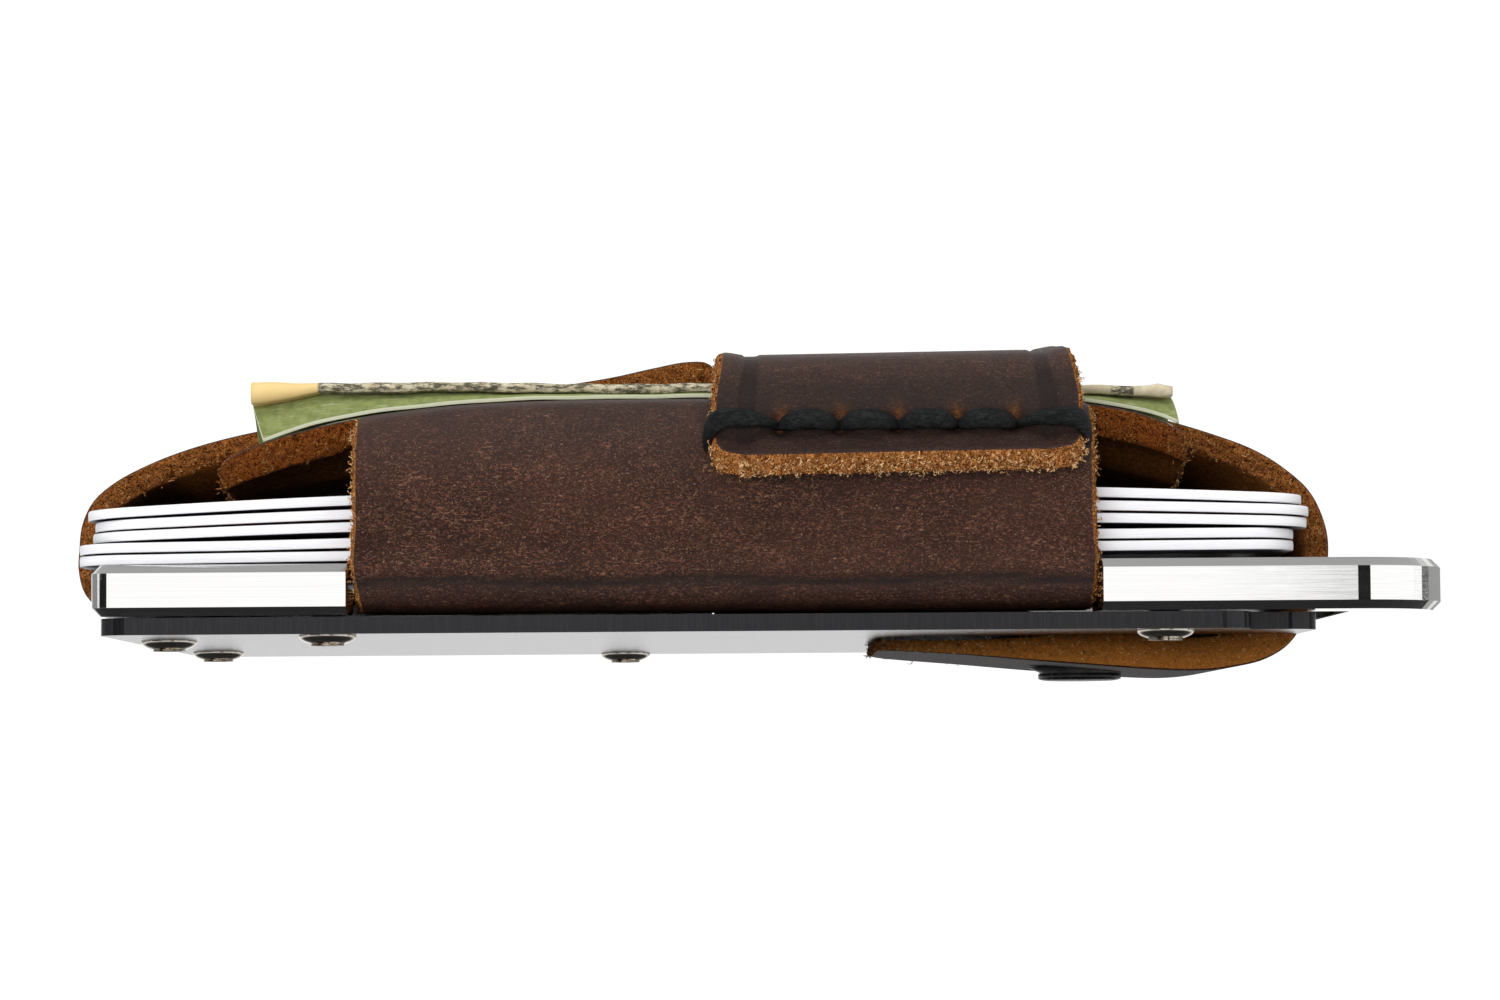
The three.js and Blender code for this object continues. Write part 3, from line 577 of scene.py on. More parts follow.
def wall_faces(upper, lower):
    """Four-sided faces from one ring of points down to the next."""
    after = list(range(1, len(upper))) + [0]
    return [[upper[n], upper[k], lower[k], lower[n]] for k, n in enumerate(after)]


def tube_faces(rings, sides):
    """Faces of a closed tube through rings of points: its sides, and then its two ends."""
    around = np.arange(rings * sides).reshape(rings, sides).tolist()
    faces = []
    for ring, following in zip(around, around[1:]):
        faces += wall_faces(ring, following)
    return faces + [around[0], around[-1][::-1]]


def rim_loop(faces):
    """The vertices round the edge of a patch of faces, in order."""
    once = {}
    for face in faces:
        for a, b in zip(face, face[1:] + face[:1]):
            if (b, a) in once:
                del once[(b, a)]
            else:
                once[(a, b)] = True
    following = dict(once.keys())
    start = next(iter(following))
    loop = [start]
    while following[loop[-1]] != start:
        loop.append(following[loop[-1]])
    return loop


def fibres(roots, outward, along, weights, count):
    """Curly fibres matted on a cut edge, as thin three-sided tubes bent into arcs."""
    pick = chance.choice(len(roots), count, p=weights / weights.sum())
    base = roots[pick] + chance.normal(0, 0.10, (count, 3))
    lean = outward[pick] * chance.uniform(0.0, 0.4, (count, 1))
    lean += along[pick] * chance.normal(0, 0.8, (count, 1)) + chance.normal(0, 0.5, (count, 3))
    lean = unit(lean)
    side = unit(np.cross(lean, chance.normal(0, 1, (count, 3))))
    third = np.cross(lean, side)
    reach = FIBRE_LENGTH * chance.uniform(0.3, 1.0, (count, 1))
    swing = chance.uniform(1.2, 5.4, (count, 1))
    rings = 6
    vertices = np.zeros((count, rings, 3, 3))
    for k in range(rings):
        t = k / (rings - 1)
        angle = swing * t
        middle = base + reach / swing * (lean * np.sin(angle) + side * (1 - np.cos(angle)))
        radius = FIBRE_RADIUS * (1 - 0.5 * t)
        for corner in range(3):
            turn = 2 * math.pi * corner / 3
            vertices[:, k, corner] = middle + radius * (math.cos(turn) * side + math.sin(turn) * third)
    ring = np.arange(rings - 1)[:, None] * 3
    corner = np.arange(3)[None, :]
    following = (corner + 1) % 3
    quad = np.stack([ring + corner, ring + following, ring + following + 3, ring + corner + 3], axis=2)
    first = (np.arange(count) * rings * 3)[:, None, None]
    return vertices.reshape(-1, 3), (first + quad.reshape(1, -1, 4)).reshape(-1, 4).tolist()


def leather(name, outer, inner, fuzz, bare, keep=None, pressed_and_shade=0.0, worn=0.0):
    """A leather piece between two grids of points: grain outside, nap inside, raw edges.

    fuzz is the fibres per millimetre of edge, and bare gives the share of them missing at
    an edge point. keep marks the grid cells that are leather. The argument after keep
    darkens the grain: the wrap gives it painted shade in its crease and near the plate, and
    the band a darker pressed finish. worn lightens the grain. All but fuzz go from 0 to 1.
    """
    grid = grid_faces(*outer.shape[:2], keep)
    front, back = outer.reshape(-1, 3), inner.reshape(-1, 3)
    loop = rim_loop(grid)
    middle_of = {}
    for face in grid:
        centre = front[face].mean(0)
        for corner in face:
            middle_of.setdefault(corner, []).append(centre)
    rim_front, rim_back = front[loop], back[loop]
    through = rim_back - rim_front
    outward = np.array([front[v] - np.mean(middle_of[v], axis=0) for v in loop])
    along = unit(np.roll(rim_front, -1, axis=0) - np.roll(rim_front, 1, axis=0))
    for direction in (along, unit(through)):
        outward -= (outward * direction).sum(1, keepdims=True) * direction
    outward = unit(outward)

    # The two faces, then the cut edge as rings of points from one to the other. The first
    # ring is burnished with the grain side, and fibres grow from all but the first two.
    faces = grid + [[v + len(front) for v in reversed(face)] for face in grid]
    kinds = [0] * len(grid) + [1] * len(grid)
    points = [front, back]
    start = 2 * len(front)
    previous = np.array(loop)
    for level, (depth, bulge) in enumerate(EDGE_RINGS):
        jitter = chance.normal(0, 0.085 if level else 0.01, (len(loop), 1))
        wave = chance.normal(0, 0.045, (len(loop), 3)) * (level > 0)
        points.append(rim_front + through * depth + outward * (bulge + jitter) + wave)
        current = start + np.arange(len(loop))
        faces += wall_faces(previous, current)
        kinds += [2 if level else 0] * len(loop)
        previous = current
        start += len(loop)
    faces += wall_faces(previous, np.array(loop) + len(front))
    kinds += [2] * len(loop)

    steps = np.linalg.norm(rim_front - np.roll(rim_front, 1, axis=0), axis=1)
    shown = (1 - np.asarray(bare(rim_front), float)) * steps
    rings = len(EDGE_RINGS) - 2
    hair, hair_faces = fibres(
        np.vstack(points[-rings:]), np.tile(outward, (rings, 1)), np.tile(along, (rings, 1)),
        np.tile(shown, rings), int(fuzz * shown.sum()),
    )
    faces += [[v + start for v in face] for face in hair_faces]
    kinds += [3] * len(hair_faces)

    everything = np.vstack([*points, hair])
    used = np.zeros(len(front), bool)
    used[np.unique(grid)] = True
    needed = np.ones(len(everything), bool)
    needed[:2 * len(front)] = np.tile(used, 2)
    shades = {}
    for label, values in (("pressed_and_shade", pressed_and_shade), ("worn", worn)):
        shade = np.zeros(len(everything))
        shade[:len(front)] = np.broadcast_to(values, outer.shape[:2]).reshape(-1)
        shades[label] = shade[needed]
    renumber = (np.cumsum(needed) - 1).tolist()
    faces = [[renumber[v] for v in face] for face in faces]
    return make_object(
        name, everything[needed], faces, [GRAIN, SUEDE, EDGE, FIBRE], kinds, shades,
    )


def stand_in(piece, body, node):
    """Puts a piece on a body in place of a CAD node, and hides the node."""
    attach(piece, body)
    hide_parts(node)


def push(outer, inner, depth):
    """Moves the outer face towards the inner one by a depth in millimetres."""
    return outer + unit(inner - outer) * depth[:, :, None]


# ---------------------------------------------------------------- the leather

def strap_underside():
    """Heights of the strap's under face where it lies over the wrap."""
    at, square = profile_curve(STRAP_OUTER, 400)
    under = at + square * LEATHER
    over = (at[:, 1] > 12) & (np.arange(len(at)) < 300)
    return under[over]


UNDERSIDE = strap_underside()


def wrap_near_top(x):
    left = 4.1 * np.maximum(0, (PANEL_MIDDLE - x) / (PANEL_MIDDLE - PANEL_LEFT)) ** 3.8
    right = 2.5 * np.maximum(0, (x - PANEL_MIDDLE) / (PANEL_RIGHT - PANEL_MIDDLE)) ** 7
    return PANEL_TOP - left - right


def wrap_pressed_top(x):
    under = np.interp(x, UNDERSIDE[:, 0], UNDERSIDE[:, 1])
    return np.minimum(wrap_near_top(x), under - NOTE_PACK)


def pressed_down(y):
    return smoothstep(y, -22.5, -15)


def wrap_top(x, y):
    return mix(wrap_near_top(x), wrap_pressed_top(x), pressed_down(y))


def build_wrap():
    """Up from the near rail on one set of columns, then a wider panel over the cards."""
    up, square = profile_curve(WRAP_OUTER, 66)
    over_y = np.linspace(PANEL_NEAR, PANEL_FAR, 84)[1:]
    over = np.column_stack([over_y, np.full(len(over_y), PANEL_TOP)])
    path = np.vstack([up, over])
    squares = np.vstack([square, np.tile([0.0, -1.0], (len(over), 1))])
    columns = np.concatenate([
        np.linspace(PANEL_LEFT, WRAP_LEFT, 19)[:-1],
        np.linspace(WRAP_LEFT, WRAP_RIGHT, 90),
        np.linspace(WRAP_RIGHT, PANEL_RIGHT, 12)[1:],
    ])
    x, y, z = across_columns(columns, path)
    on_top = (y >= PANEL_NEAR) & (z > PANEL_TOP / 2)
    from_end = np.minimum(y - PANEL_NEAR, PANEL_FAR - y)
    inset = np.where(on_top, corner_inset(PANEL_RADIUS, from_end), 0)
    left_share = np.clip((WRAP_LEFT - x) / (WRAP_LEFT - PANEL_LEFT), 0, 1)
    right_share = np.clip((x - WRAP_RIGHT) / (PANEL_RIGHT - WRAP_RIGHT), 0, 1)
    low = z < PANEL_TOP / 2
    at_root = (1 - smoothstep(z, 1.5, 5.2)) * low
    flap = smoothstep(y, -29.6, -28.6) * low
    in_recess = 0.65 * smoothstep(z, 8.2, 4.2) * low
    tuck = WRAP_ROOT_INSET * at_root * (x < WRAP_CENTRE)
    x = x + inset * left_share - inset * right_share
    spread = WRAP_SPREAD * np.maximum(flap, in_recess)
    x = x - (tuck - spread) * (x - WRAP_CENTRE) / WRAP_HALF
    drop = (PANEL_TOP - wrap_top(x, y)) * smoothstep(z, 6, 15)
    sx, sz = squares[:, 0][None, :], squares[:, 1][None, :]
    skive = (SKIVE + 0.30 * at_root) * (x - WRAP_CENTRE) / WRAP_HALF * ~on_top
    hang = PANEL_EDGE_HANG * (1 - smoothstep(y, PANEL_NEAR - 0.1, PANEL_NEAR + 6)) * on_top
    hang = hang * smoothstep(np.maximum(left_share, right_share), 0.0, 0.3)
    outer = np.stack([x - skive, y, z - drop], axis=2)
    inner = np.stack([x, y + sx * LEATHER, z - drop + sz * LEATHER - hang], axis=2)
    side_flare = bell(x, WRAP_LEFT, 2.0) + bell(x, WRAP_RIGHT, 2.0)
    flare = 0.35 * side_flare * smoothstep(z, 4, 9) * ~on_top
    outer[:, :, 1] -= flare
    inner[:, :, 1] -= flare
    crease_height = 3.55 + 0.08 * np.sin(0.33 * x) + 0.04 * np.sin(1.3 * x)
    crease = bell(outer[:, :, 2], crease_height, 0.24) * ~on_top * (y < -28)
    outer = push(outer, inner, 0.22 * crease)
    cells_y = (y[:-1, :-1] + y[1:, 1:]) / 2
    cells_z = (z[:-1, :-1] + z[1:, 1:]) / 2
    middle = (columns[:-1] >= WRAP_LEFT - 1e-6) & (columns[1:] <= WRAP_RIGHT + 1e-6)
    keep = ((cells_y > PANEL_NEAR) & (cells_z > PANEL_TOP / 2)) | middle[:, None]
    # Painted shade: the grain darkens in the crease and towards the foot of the near face, near the
    # plate.
    hem = smoothstep(outer[:, :, 2], 4.6, 3.0) * (y < -28)
    shade = np.clip(0.85 * crease + 0.4 * hem, 0, 1)
    obj = leather("wrap_leather", outer, inner, 16, lambda p: p[:, 2] < 1.6, keep, shade)
    stand_in(obj, "clip", "card_wrap")


def build_band():
    """From the laced lip on the near side, over everything, to the far rail."""
    path, square = profile_curve(BAND_OUTER, 230)
    x, y, z = across_columns(np.linspace(BAND_LEFT, BAND_RIGHT, 150), path)
    end_y, end_z = BAND_OUTER[0]
    inset = corner_inset(BAND_CORNER_RADIUS, np.hypot(y - end_y, z - end_z))
    centre, half = (BAND_LEFT + BAND_RIGHT) / 2, (BAND_RIGHT - BAND_LEFT) / 2
    share = (x - centre) / half
    x = centre + share * (half - inset)
    tilt = 0.16 * share * smoothstep(y, 10, -20)
    curl = 0.22 * smoothstep(np.abs(share), 0.86, 1.0) * smoothstep(z, 15, 18) * (y < 30)
    sx, sz = square[:, 0][None, :], square[:, 1][None, :]
    skive = SKIVE + 0.5 * smoothstep(z, 15.5, 19)
    outer = np.stack([x - skive * share, y - sx * curl, z - sz * curl + tilt], axis=2)
    depth = LEATHER - curl
    under_x = x - 0.2 * (skive - SKIVE) * share
    inner = np.stack([under_x, y + sx * depth, z + sz * depth + tilt], axis=2)
    from_edge = half - np.abs(x - centre)
    groove = smoothstep(from_edge, 1.35, 1.5) * smoothstep(from_edge, 2.7, 2.5)
    groove = groove * smoothstep(z, 12.7, 13.2)
    near = y < -30
    holes = sum(bell(x, hole, 0.55) for hole in LACE_HOLES)
    dents = holes * bell(z, LACE_HEIGHT + 0.15, 0.7) * near
    channel = bell(z, LACE_HEIGHT - 0.1, 0.7) * near
    outer = push(outer, inner, 0.12 * groove + 0.9 * dents + 0.2 * channel)
    stretch = sum(
        bell(x, hole, 0.32 + 0.5 * smoothstep(z, LACE_HEIGHT, LACE_HEIGHT + 2.5))
        for hole in LACE_HOLES
    )
    fading = smoothstep(z, LACE_HEIGHT + 2.2, LACE_HEIGHT + 0.5) ** 2
    worn = 0.85 * stretch * smoothstep(z, LACE_HEIGHT - 0.6, LACE_HEIGHT + 0.2) * fading * near
    handled = 0.60 * smoothstep(z, 18.5, 16.5) * near
    # On the band this darkening is a pressed finish: its handled face, the creased groove and the
    # stitch channel.
    pressed_and_shade = np.clip(handled + 0.6 * groove + 0.2 * channel, 0, 0.85) * (1 - worn)
    obj = leather(
        "band_leather", outer, inner, fuzz=50, pressed_and_shade=pressed_and_shade, worn=np.clip(worn, 0, 0.9),
        bare=lambda p: np.where(p[:, 1] < -35.2, 0, np.where(p[:, 1] < -33, 0.8, 0.93)),
    )
    stand_in(obj, "clip", "note_band")


def strap_grids(at, square, columns=44):
    """The two faces of a stretch of strap: cupped where it is free, thinner at its tip."""
    under = at[:, 1] < 0
    tip = np.where(under, at[:, 0] - STRAP_OUTER[-1][0], TAIL_TIP_RADIUS)
    half = STRAP_HALF_WIDTH - corner_inset(TAIL_TIP_RADIUS, tip)
    thinned = mix(TAIL_TIP_THICKNESS, LEATHER, smoothstep(at[:, 0], 56, 72))
    thickness = np.where(under, thinned, LEATHER)
    share = np.linspace(-1, 1, columns)[:, None]
    y = share * half[None, :]
    x = np.tile(at[:, 0], (columns, 1))
    z = np.tile(at[:, 1], (columns, 1))
    sx, sz = (square * thickness[:, None]).T
    free = smoothstep(at[:, 0], 1, 5) * smoothstep(at[:, 0], 30, 20)
    free += smoothstep(at[:, 0], 70, 78) * smoothstep(at[:, 1], 3, 9)
    sag = STRAP_CUP * free[None, :] * (1 - share ** 2)
    dx, dz = square[:, 0][None, :], square[:, 1][None, :]
    splay = smoothstep(at[:, 0], 60, 74) * smoothstep(at[:, 0], 86, 82) * under
    swell = 1 + 0.42 * splay[None, :] * np.abs(share) ** 6
    outer = np.stack([x + sag * dx, y, z + sag * dz], axis=2)
    inner = outer + np.stack([sx[None, :] * swell, 0 * y, sz[None, :] * swell], axis=2)
    return outer, inner


def build_strap():
    at, square = profile_curve(STRAP_OUTER, 300)
    past_band = at[:, 0] > PANEL_RIGHT
    going_down = past_band & (at[:, 1] < STRAP_SPLIT_HEIGHT)
    split = int(np.argmax(going_down))
    upper = leather(
        "strap_leather", *strap_grids(at[:split + 1], square[:split + 1]), fuzz=12,
        bare=lambda p: ((p[:, 0] > 87.0) & (p[:, 2] < 6)) | ((p[:, 0] > 0) & (p[:, 2] < 2)),
    )
    stand_in(upper, "clip", "closing_strap")
    lower = leather(
        "strap_tail_leather", *strap_grids(at[split:], square[split:]), fuzz=12,
        bare=lambda p: p[:, 2] > STRAP_SPLIT_HEIGHT - 0.8,
    )
    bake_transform(lower)
    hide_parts("strap_tail")


build_wrap()
build_band()
build_strap()


# --------------------------------------------------------------------- lacing

def flat_cord(name, points, widths, depth):
    """A flat braided cord, standing on edge, along points; widths are given at them."""
    steps = 12 * len(points)
    path, along = smooth_curve(points, steps)
    share_of_points = np.linspace(0, 1, len(points))
    width = np.interp(np.linspace(0, 1, steps + 1), share_of_points, widths)
    sides = 16
    turns = np.linspace(0, 2 * np.pi, sides, endpoint=False)
    upright = np.array([0.0, 0.0, 1.0])
    vertices, braid = [], []
    for k, (middle, forward) in enumerate(zip(path, along)):
        across = unit(upright - forward * np.dot(upright, forward))
        out = np.cross(forward, across)
        for turn in turns:
            ridge = 1 + 0.02 * math.cos(3 * turn + 0.25 * k) + chance.normal(0, 0.012)
            up = np.sign(math.cos(turn)) * abs(math.cos(turn)) ** 0.8
            vertices.append(
                middle + across * up * width[k] / 2 * ridge + out * math.sin(turn) * depth / 2 * ridge
            )
            braid.append(0.5 + 0.5 * math.cos(4 * turn + 0.9 * k))
    faces = [face[::-1] for face in tube_faces(steps + 1, sides)]
    return make_object(name, vertices, faces, [CORD], None, {"braid": braid})


def build_lacing():
    """Stitches that swell between the holes over an almost straight lower edge."""
    pieces = []
    bottom = LACE_HEIGHT - 0.45
    inside = LACE_FACE + 1.3
    for k, (left, right) in enumerate(zip(LACE_HOLES, LACE_HOLES[1:])):
        points, widths = [], []
        for share in np.linspace(0, 1, 9):
            rise = math.sin(math.pi * share)
            width = 0.5 + 0.95 * rise ** 0.8
            dive = (1 - rise) ** 3
            x = mix(left + 0.12, right - 0.12, share)
            y = LACE_FACE + 0.25 - 0.85 * rise ** 0.6 + 0.55 * dive
            points.append((x, y, bottom + width / 2 - 0.05 * rise))
            widths.append(width)
        points = [(left + 0.02, inside, bottom + 0.2), *points, (right - 0.02, inside, bottom + 0.2)]
        widths = [0.5, *widths, 0.5]
        pieces.append(flat_cord(f"lace_stitch_{k + 1}", points, widths, CORD_DEPTH))
    ends = (
        ("left", -1, LACE_HOLES[0], BAND_LEFT + SKIVE),
        ("right", 1, LACE_HOLES[-1], BAND_RIGHT - SKIVE),
    )
    for label, side, hole, edge in ends:
        points = [
            (hole - side * 0.02, inside, bottom + 0.2),
            (hole + side * 0.12, LACE_FACE + 0.8, bottom + 0.25),
            (hole + side * 0.6, LACE_FACE, bottom + 0.45),
            (hole + side * 1.5, LACE_FACE - 0.55, bottom + 0.66),
            (edge - side * 1.2, LACE_FACE - 0.68, bottom + 0.78),
            (edge - side * 0.1, LACE_FACE - 0.62, bottom + 0.68),
            (edge + side * 0.42, LACE_FACE - 0.1, bottom + 0.2),
            (edge + side * 0.62, LACE_FACE + 0.9, bottom - 0.45),
            (edge + side * 0.60, LACE_FACE + 2.0, bottom - 0.8),
            (edge + side * 0.45, LACE_FACE + 4.0, bottom - 0.9),
        ]
        widths = [0.5, 0.55, 0.9, 1.3, 1.4, 1.4, 1.35, 1.2, 1.2, 1.2]
        pieces.append(flat_cord(f"lace_end_{label}", points, widths, CORD_DEPTH))
    run = [(x, LACE_FACE + 5.5, bottom - 0.35) for x in (BAND_LEFT - 0.5, 56.0, BAND_RIGHT + 0.5)]
    pieces.append(flat_cord("lace_inside", run, [1.2, 1.2, 1.2], CORD_DEPTH))
    for piece in pieces:
        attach(piece, "clip")
    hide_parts("lacing_cord")


build_lacing()


# ------------------------------------------------------------ cards and notes

def slab(name, top, bottom, materials, edge_material=0):
    """A closed sheet between two grids, with softened edges."""
    grid = grid_faces(*top.shape[:2])
    loop = rim_loop(grid)
    upper, lower = top.reshape(-1, 3), bottom.reshape(-1, 3)
    count = len(upper)
    from_middle = upper[loop] - upper[loop].mean(0)
    from_middle[:, 2] = 0
    faces = grid + [[v + count for v in reversed(face)] for face in grid]
    points = [upper, lower]
    rim = [np.zeros(count), np.zeros(count)]
    flat_faces = len(faces)
    previous, start = np.array(loop), 2 * count
    thickness = np.abs(upper[loop][:, 2:] - lower[loop][:, 2:])
    outward = unit(from_middle)
    for t, out in ((0.12, 0.06), (0.5, 0.09), (0.88, 0.06)):
        points.append(mix(upper[loop], lower[loop], t) + outward * out * thickness)
        rim.append(np.full(len(loop), 1.0))
        current = start + np.arange(len(loop))
        faces += wall_faces(previous, current)
        previous, start = current, start + len(loop)
    faces += wall_faces(previous, np.array(loop) + count)
    kinds = [0] * flat_faces + [edge_material] * (len(faces) - flat_faces)
    return make_object(
        name, np.vstack(points), faces, materials, kinds, {"rim": np.concatenate(rim)},
    )


def build_cards():
    for level, left in enumerate(CARD_LEFTS):
        arc = CARD_RADIUS * (1 - np.cos(np.linspace(0, np.pi / 2, 14)))
        inner = np.linspace(CARD_RADIUS, CARD_LENGTH - CARD_RADIUS, 40)[1:-1]
        along = np.concatenate([arc, inner, (CARD_LENGTH - arc)[::-1]])
        inset = corner_inset(CARD_RADIUS, np.minimum(along, CARD_LENGTH - along))
        share = np.linspace(0, 1, 9)[None, :]
        y = CARD_NEAR + inset[:, None] + share * (CARD_WIDTH - 2 * inset[:, None])
        arch = 1 - (2 * along / CARD_LENGTH - 1) ** 2
        pitch = mix(CARD_PITCH_AT_ENDS, CARD_PITCH_IN_MIDDLE, arch)
        rise = CARD_STACK_RISE * along / CARD_LENGTH
        z = CARD_STACK_BOTTOM + rise + level * pitch + CARD_BOW * arch * (1 if level else 0.4)
        z = z + CARD_LIFTS[level] * smoothstep(along, 0, 15) * smoothstep(along, CARD_LENGTH, 70)
        x = np.tile((left + along)[:, None], (1, y.shape[1]))
        z = np.tile(z[:, None], (1, y.shape[1]))
        top = np.stack([x, y, z + CARD_SHEET], axis=2)
        bottom = np.stack([x, y, z], axis=2)
        faces = [CARD_FACES[level], CARD_CORE]
        card = slab(f"card_blank_{level + 1}", top, bottom, faces, edge_material=1)
        stand_in(card, "clip", f"card_{level + 1}")


def note_waves(x, y, seed):
    """Small creases and ripples of handled paper."""
    return 0.05 * np.sin(x * 0.41 + seed) + 0.035 * np.sin(x * 1.13 + y * 0.3 + 2.1 * seed)


def note_level(x, y, near_height, lift):
    down = wrap_pressed_top(x) + 0.12 + lift
    return mix(near_height, down, pressed_down(y))


def build_notes():
    """Two flat notes, and over them one folded into a roll along its near edge."""
    xs = np.linspace(NOTE_LEFT, NOTE_RIGHT, 130)
    ys = np.concatenate([np.linspace(NOTE_NEAR, -14, 40), np.linspace(-13, NOTE_FAR, 24)])
    x = np.tile(xs[:, None], (1, len(ys)))
    y = np.tile(ys, (len(xs), 1))
    loose = 1 - pressed_down(y)

    lying = wrap_near_top(x) + 0.14 + 0.5 * note_waves(x, y, 1.0) * loose
    lower = note_level(x, y, lying, 0.0)
    piece = slab(
        "note_under", np.stack([x, y + 0.5, lower + 0.14], axis=2),
        np.stack([x, y + 0.5, lower], axis=2), [GREEN_NOTE],
    )
    stand_in(piece, "clip", "note_lower")

    crest = note_crest(x)
    hem = wrap_near_top(x) + 0.30 + 0.3 * smoothstep(x, 26, 11) + 0.5 * note_waves(x, x * 0, 2.2)
    roll_bottom = crest - 2 * note_roll_radius(x) - 0.1
    climb = np.clip((y - NOTE_NEAR) / 1.7, 0, 1) ** 0.55
    hung = mix(hem, np.maximum(roll_bottom, hem), climb)
    middle = note_level(x, y, hung, 0.37)
    slant = 0.9 * (1 - climb) * (smoothstep(x, 24, NOTE_LEFT) + 0.4 * smoothstep(x, 70, NOTE_RIGHT))
    piece = slab(
        "note_between", np.stack([x + slant, y - 0.1, middle + mix(0.3, 0.16, climb)], axis=2),
        np.stack([x + slant, y - 0.1, middle], axis=2), [GREEN_NOTE],
    )
    stand_in(piece, "clip", "note_middle")

    fold_steps = 14
    radius = note_roll_radius(xs)
    centre_z = note_crest(xs) - radius
    turns = np.linspace(np.pi / 2, -np.pi / 2, fold_steps)
    leaf_y = np.concatenate([np.linspace(NOTE_NEAR + 0.5, -14, 30), np.linspace(-13, NOTE_FAR, 14)])
    rows_y = np.concatenate([leaf_y[::-1], np.full(fold_steps, np.nan), leaf_y])
    top = np.zeros((len(xs), len(rows_y), 3))
    inside = np.zeros_like(top)
    for i, at in enumerate(xs):
        pressed_z = wrap_pressed_top(at) + 0.12
        for j, row in enumerate(rows_y):
            if np.isnan(row):
                turn = turns[j - len(leaf_y)]
                out = np.array([0, -math.cos(turn), math.sin(turn)])
                centre = np.array([at, NOTE_NEAR + 0.5, centre_z[i]])
                top[i, j] = centre + out * radius[i]
                inside[i, j] = centre + out * (radius[i] - PAPER)
            else:
                side = 1 if j < len(leaf_y) else -1
                opened = centre_z[i] + side * radius[i]
                flat = pressed_z + (0.85 if side > 0 else 0.62)
                z = mix(opened, flat, float(pressed_down(row)))
                top[i, j] = (at, row, z)
                inside[i, j] = (at, row, z - side * PAPER)
    piece = slab("note_folded", top, inside, [CREAM_NOTE])
    stand_in(piece, "clip", "note_upper")


def note_crest(x):
    """Height of the rolled near edge of the top note."""
    fall = NOTE_TOP_FALL * (x - NOTE_LEFT) / (NOTE_RIGHT - NOTE_LEFT)
    ripple = 0.05 * np.sin(0.31 * x) + 0.03 * np.sin(1.7 * x)
    return NOTE_TOP - fall + ripple + 0.16 * bell(x, NOTE_KNOB, 0.5)


def note_roll_radius(x):
    """Radius of the rolled near edge, which opens out at its left end."""
    opening = 0.42 * smoothstep(x, 16.0, NOTE_LEFT)
    knob = 0.14 * bell(x, NOTE_KNOB, 0.6)
    return 0.34 + opening + knob + 0.02 * np.sin(0.7 * x)


build_cards()
build_notes()


# ------------------------------------------------------------- frame hardware

def turned(name, profile, x, y, material, sides=40):
    """A turned piece from (radius, z, hexness) points; hexness 1 makes that ring a hexagon."""
    turns = np.linspace(0, 2 * np.pi, sides, endpoint=False)
    within = np.mod(turns, np.pi / 3) - np.pi / 6
    hexagon = math.cos(math.pi / 6) / np.cos(within)
    vertices = []
    for radius, z, hexness in profile:
        reach = radius * mix(1.0, hexagon, hexness)
        vertices += [
            (x + r * math.cos(t), y + r * math.sin(t), z) for r, t in zip(reach, turns)
        ]
    return make_object(name, vertices, tube_faces(len(profile), sides), [material])


SCREWS = {
    "screw_near_left": (16.25, -HALF_WIDTH + SCREW_INSET),
    "screw_near_right": (75.1, -HALF_WIDTH + SCREW_INSET),
    "screw_far_left": (35.9, HALF_WIDTH - SCREW_INSET),
    "screw_far_right": (76.6, HALF_WIDTH - SCREW_INSET),
    "screw_end_near": (3.65, -15.9),
    "screw_end_far": (3.65, 15.9),
}


def build_screws():
    """Button heads with a hexagon socket: the floor of it first, then the dome and shank."""
    radius, seat = SCREW_HEAD_RADIUS, PLATE_BOTTOM
    crown, floor = seat - SCREW_HEAD_HEIGHT, seat - SOCKET_FLOOR
    profile = [(0.02, floor, 1), (SOCKET_RADIUS, floor, 1), (SOCKET_RADIUS + 0.08, crown + 0.02, 1)]
    profile.append((SOCKET_RADIUS + 0.22, crown, 0.2))
    for turn in np.linspace(0.28, 1.0, 9) * math.pi / 2:
        rise = min(0.18 + 0.82 * math.cos(turn), 1.0)
        profile.append((radius * math.sin(turn) * 0.995, seat - SCREW_HEAD_HEIGHT * rise, 0))
    profile += [(radius, seat - 0.08, 0), (radius * 0.97, seat, 0)]
    profile += [(SCREW_SHANK_RADIUS, seat, 0), (SCREW_SHANK_RADIUS, SCREW_TOP, 0)]
    for node, (x, y) in SCREWS.items():
        screw = turned(f"{node}_head", profile, x, y, NICKEL)
        stand_in(screw, "clip", node)


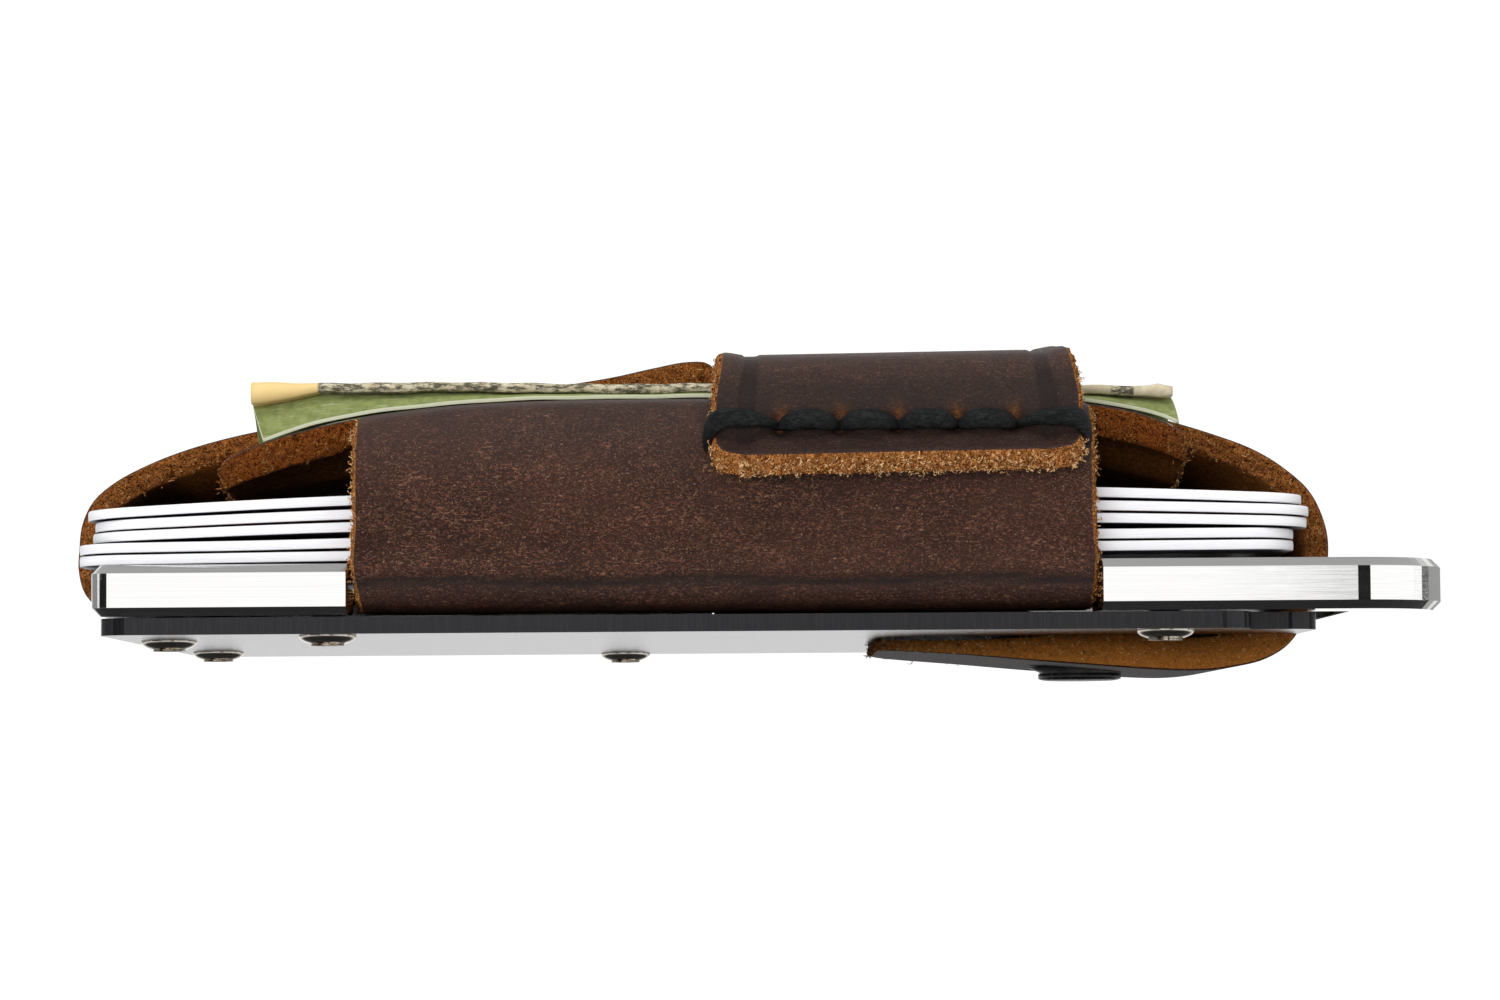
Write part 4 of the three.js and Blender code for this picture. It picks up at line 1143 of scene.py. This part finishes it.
def build_snap():
    bottom, radius = SNAP_BOTTOM, SNAP_CAP_RADIUS
    profile = [(radius * share, bottom + 0.16 * share ** 10, 0) for share in np.linspace(0.01, 1, 16)]
    profile += [(radius, bottom + 0.5, 0), (radius * 0.96, bottom + 0.62, 0)]
    profile += [(radius * 1.25, bottom + 1.05, 0), (0.02, bottom + 1.05, 0)]
    cap = turned("snap_cap_enamel", profile, SNAP_X, 0, ENAMEL, 64)
    stand_in(cap, "tail", "snap_cap")
    socket = turned("snap_socket_ring", [
        (0.02, -1.15, 0), (1.85, -1.15, 0), (1.85, -0.6, 0), (2.05, -0.4, 0), (2.3, -0.35, 0),
        (2.8, -0.4, 0), (3.0, -0.6, 0), (3.0, -1.4, 0), (1.2, -1.42, 0), (1.2, -2.3, 0),
        (0.02, -2.3, 0),
    ], SNAP_X, 0, NICKEL, 48)
    stand_in(socket, "tail", "snap_socket")
    stud = turned("snap_stud_rivet", [
        (0.02, -0.9, 0), (1.0, -0.9, 0), (1.35, -0.8, 0), (1.55, -0.65, 0), (1.5, -0.3, 0),
        (1.55, 1.3, 0), (2.7, 1.3, 0), (2.8, 1.4, 0), (2.7, 1.65, 0), (2.4, 1.7, 0), (0.02, 1.7, 0),
    ], SNAP_X, 0, NICKEL, 48)
    stand_in(stud, "clip", "snap_stud")


def dress_metal(node, material, bevel):
    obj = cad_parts[node]
    obj.data.materials.clear()
    obj.data.materials.append(material)
    weld = obj.modifiers.new("weld", "WELD")
    weld.merge_threshold = 0.00001
    rounding = obj.modifiers.new("rounding", "BEVEL")
    rounding.width = bevel * MM
    rounding.segments = 2
    rounding.limit_method = "ANGLE"
    rounding.angle_limit = math.radians(32)


build_screws()
build_snap()
dress_metal("frame", STEEL, 0.09)
dress_metal("back_plate", COATING, 0.10)


# ------------------------------------------------------------ floor and light

def see_through_from_below(name, tone):
    """A pale floor that doesn't hide the object from an eye just under its level."""
    s = Shader(name).set(Roughness=0.9, Specular_IOR_Level=0.1, Base_Color=tone)
    both = s.node("MixShader", Fac=s.node("NewGeometry").outputs["Backfacing"])
    s.plug(s.surface.outputs["BSDF"], both.inputs[1])
    s.plug(s.node("BsdfTransparent").outputs["BSDF"], both.inputs[2])
    s.plug(both.outputs["Shader"], s.tree.nodes["Material Output"].inputs["Surface"])
    return s.material


def add_sheet(name, corners, material):
    """One flat sheet of the stage, in metres."""
    mesh = bpy.data.meshes.new(name)
    mesh.from_pydata(corners, [], [(0, 1, 2, 3)])
    mesh.materials.append(material)
    sheet = bpy.data.objects.new(name, mesh)
    bpy.context.scene.collection.objects.link(sheet)
    return sheet


def add_floor():
    reach = 4.0
    corners = [(-reach, -reach, 0), (reach, -reach, 0), (reach, reach, 0), (-reach, reach, 0)]
    floor = add_sheet("floor", corners, see_through_from_below("floor_paper", (0.86, 0.86, 0.86)))
    floor.visible_glossy = False


def add_area_light(name, location, target, size, power):
    data = bpy.data.lights.new(name, "AREA")
    data.shape = "RECTANGLE"
    data.size, data.size_y = size
    data.energy = power
    light = bpy.data.objects.new(name, data)
    bpy.context.scene.collection.objects.link(light)
    light.location = location
    aim = Vector(target) - Vector(location)
    light.rotation_euler = aim.to_track_quat("-Z", "Y").to_euler()
    light.visible_glossy = False
    return light


def add_world():
    """White all round, greyer overhead and falling to dark grey below."""
    world = bpy.data.worlds.new("studio")
    world.use_nodes = True
    nodes, links = world.node_tree.nodes, world.node_tree.links
    direction = nodes.new("ShaderNodeTexCoord")
    split = nodes.new("ShaderNodeSeparateXYZ")
    ramp = nodes.new("ShaderNodeValToRGB")
    stops = ((0.0, 0.02), (0.24, 0.04), (0.40, 1.0), (0.64, 1.0), (0.82, 0.38), (1.0, 0.34))
    elements = ramp.color_ramp.elements
    while len(elements) < len(stops):
        elements.new(0.5)
    for element, (position, level) in zip(elements, stops):
        element.position = position
        element.color = (level, level, level, 1.0)
    half = nodes.new("ShaderNodeMath")
    half.operation = "MULTIPLY_ADD"
    half.inputs[1].default_value = 0.5
    half.inputs[2].default_value = 0.5
    links.new(direction.outputs["Generated"], split.inputs["Vector"])
    links.new(split.outputs["Z"], half.inputs[0])
    links.new(half.outputs["Value"], ramp.inputs["Fac"])
    links.new(ramp.outputs["Color"], nodes["Background"].inputs["Color"])
    nodes["Background"].inputs["Strength"].default_value = 1.08
    bpy.context.scene.world = world


def add_flag(name, corner, azimuth, width, tone=0.01, distance=0.9, height=0.5):
    """A dark card that a corner of the bright frame reflects, at an azimuth from -Y."""
    across = width / 2
    corners = [(-across, 0, 0), (across, 0, 0), (across, 0, height), (-across, 0, height)]
    card = Shader(name).set(Roughness=0.9, Base_Color=(tone, tone, tone))
    flag = add_sheet(name, corners, card.material)
    angle = math.radians(azimuth)
    flag.location = corner + Vector((distance * math.sin(angle), -distance * math.cos(angle), -0.2))
    flag.rotation_euler = (0, 0, angle)
    flag.visible_camera = False


add_floor()
add_world()
RIGHT_CORNER = place(FRAME_LENGTH, -HALF_WIDTH, 3)
LEFT_CORNER = place(0, -HALF_WIDTH, 3)
add_flag("flag_right", RIGHT_CORNER, 15.5, 0.22)
add_flag("flag_side", RIGHT_CORNER, 101, 0.22)
add_flag("flag_behind", RIGHT_CORNER, 142, 1.0, 0.5)
add_flag("flag_left", LEFT_CORNER, -48, 0.80)
add_flag("flag_far_left", LEFT_CORNER, -112, 1.3, 0.4)
add_area_light("overhead", (0.0, -0.12, 0.42), (0, 0, 0.01), (0.5, 0.4), 1.0)
add_area_light("front", (-0.22, -0.60, 0.045), (0, 0, 0.01), (0.5, 0.07), 1.7)
bpy.context.scene.view_settings.view_transform = "Standard"
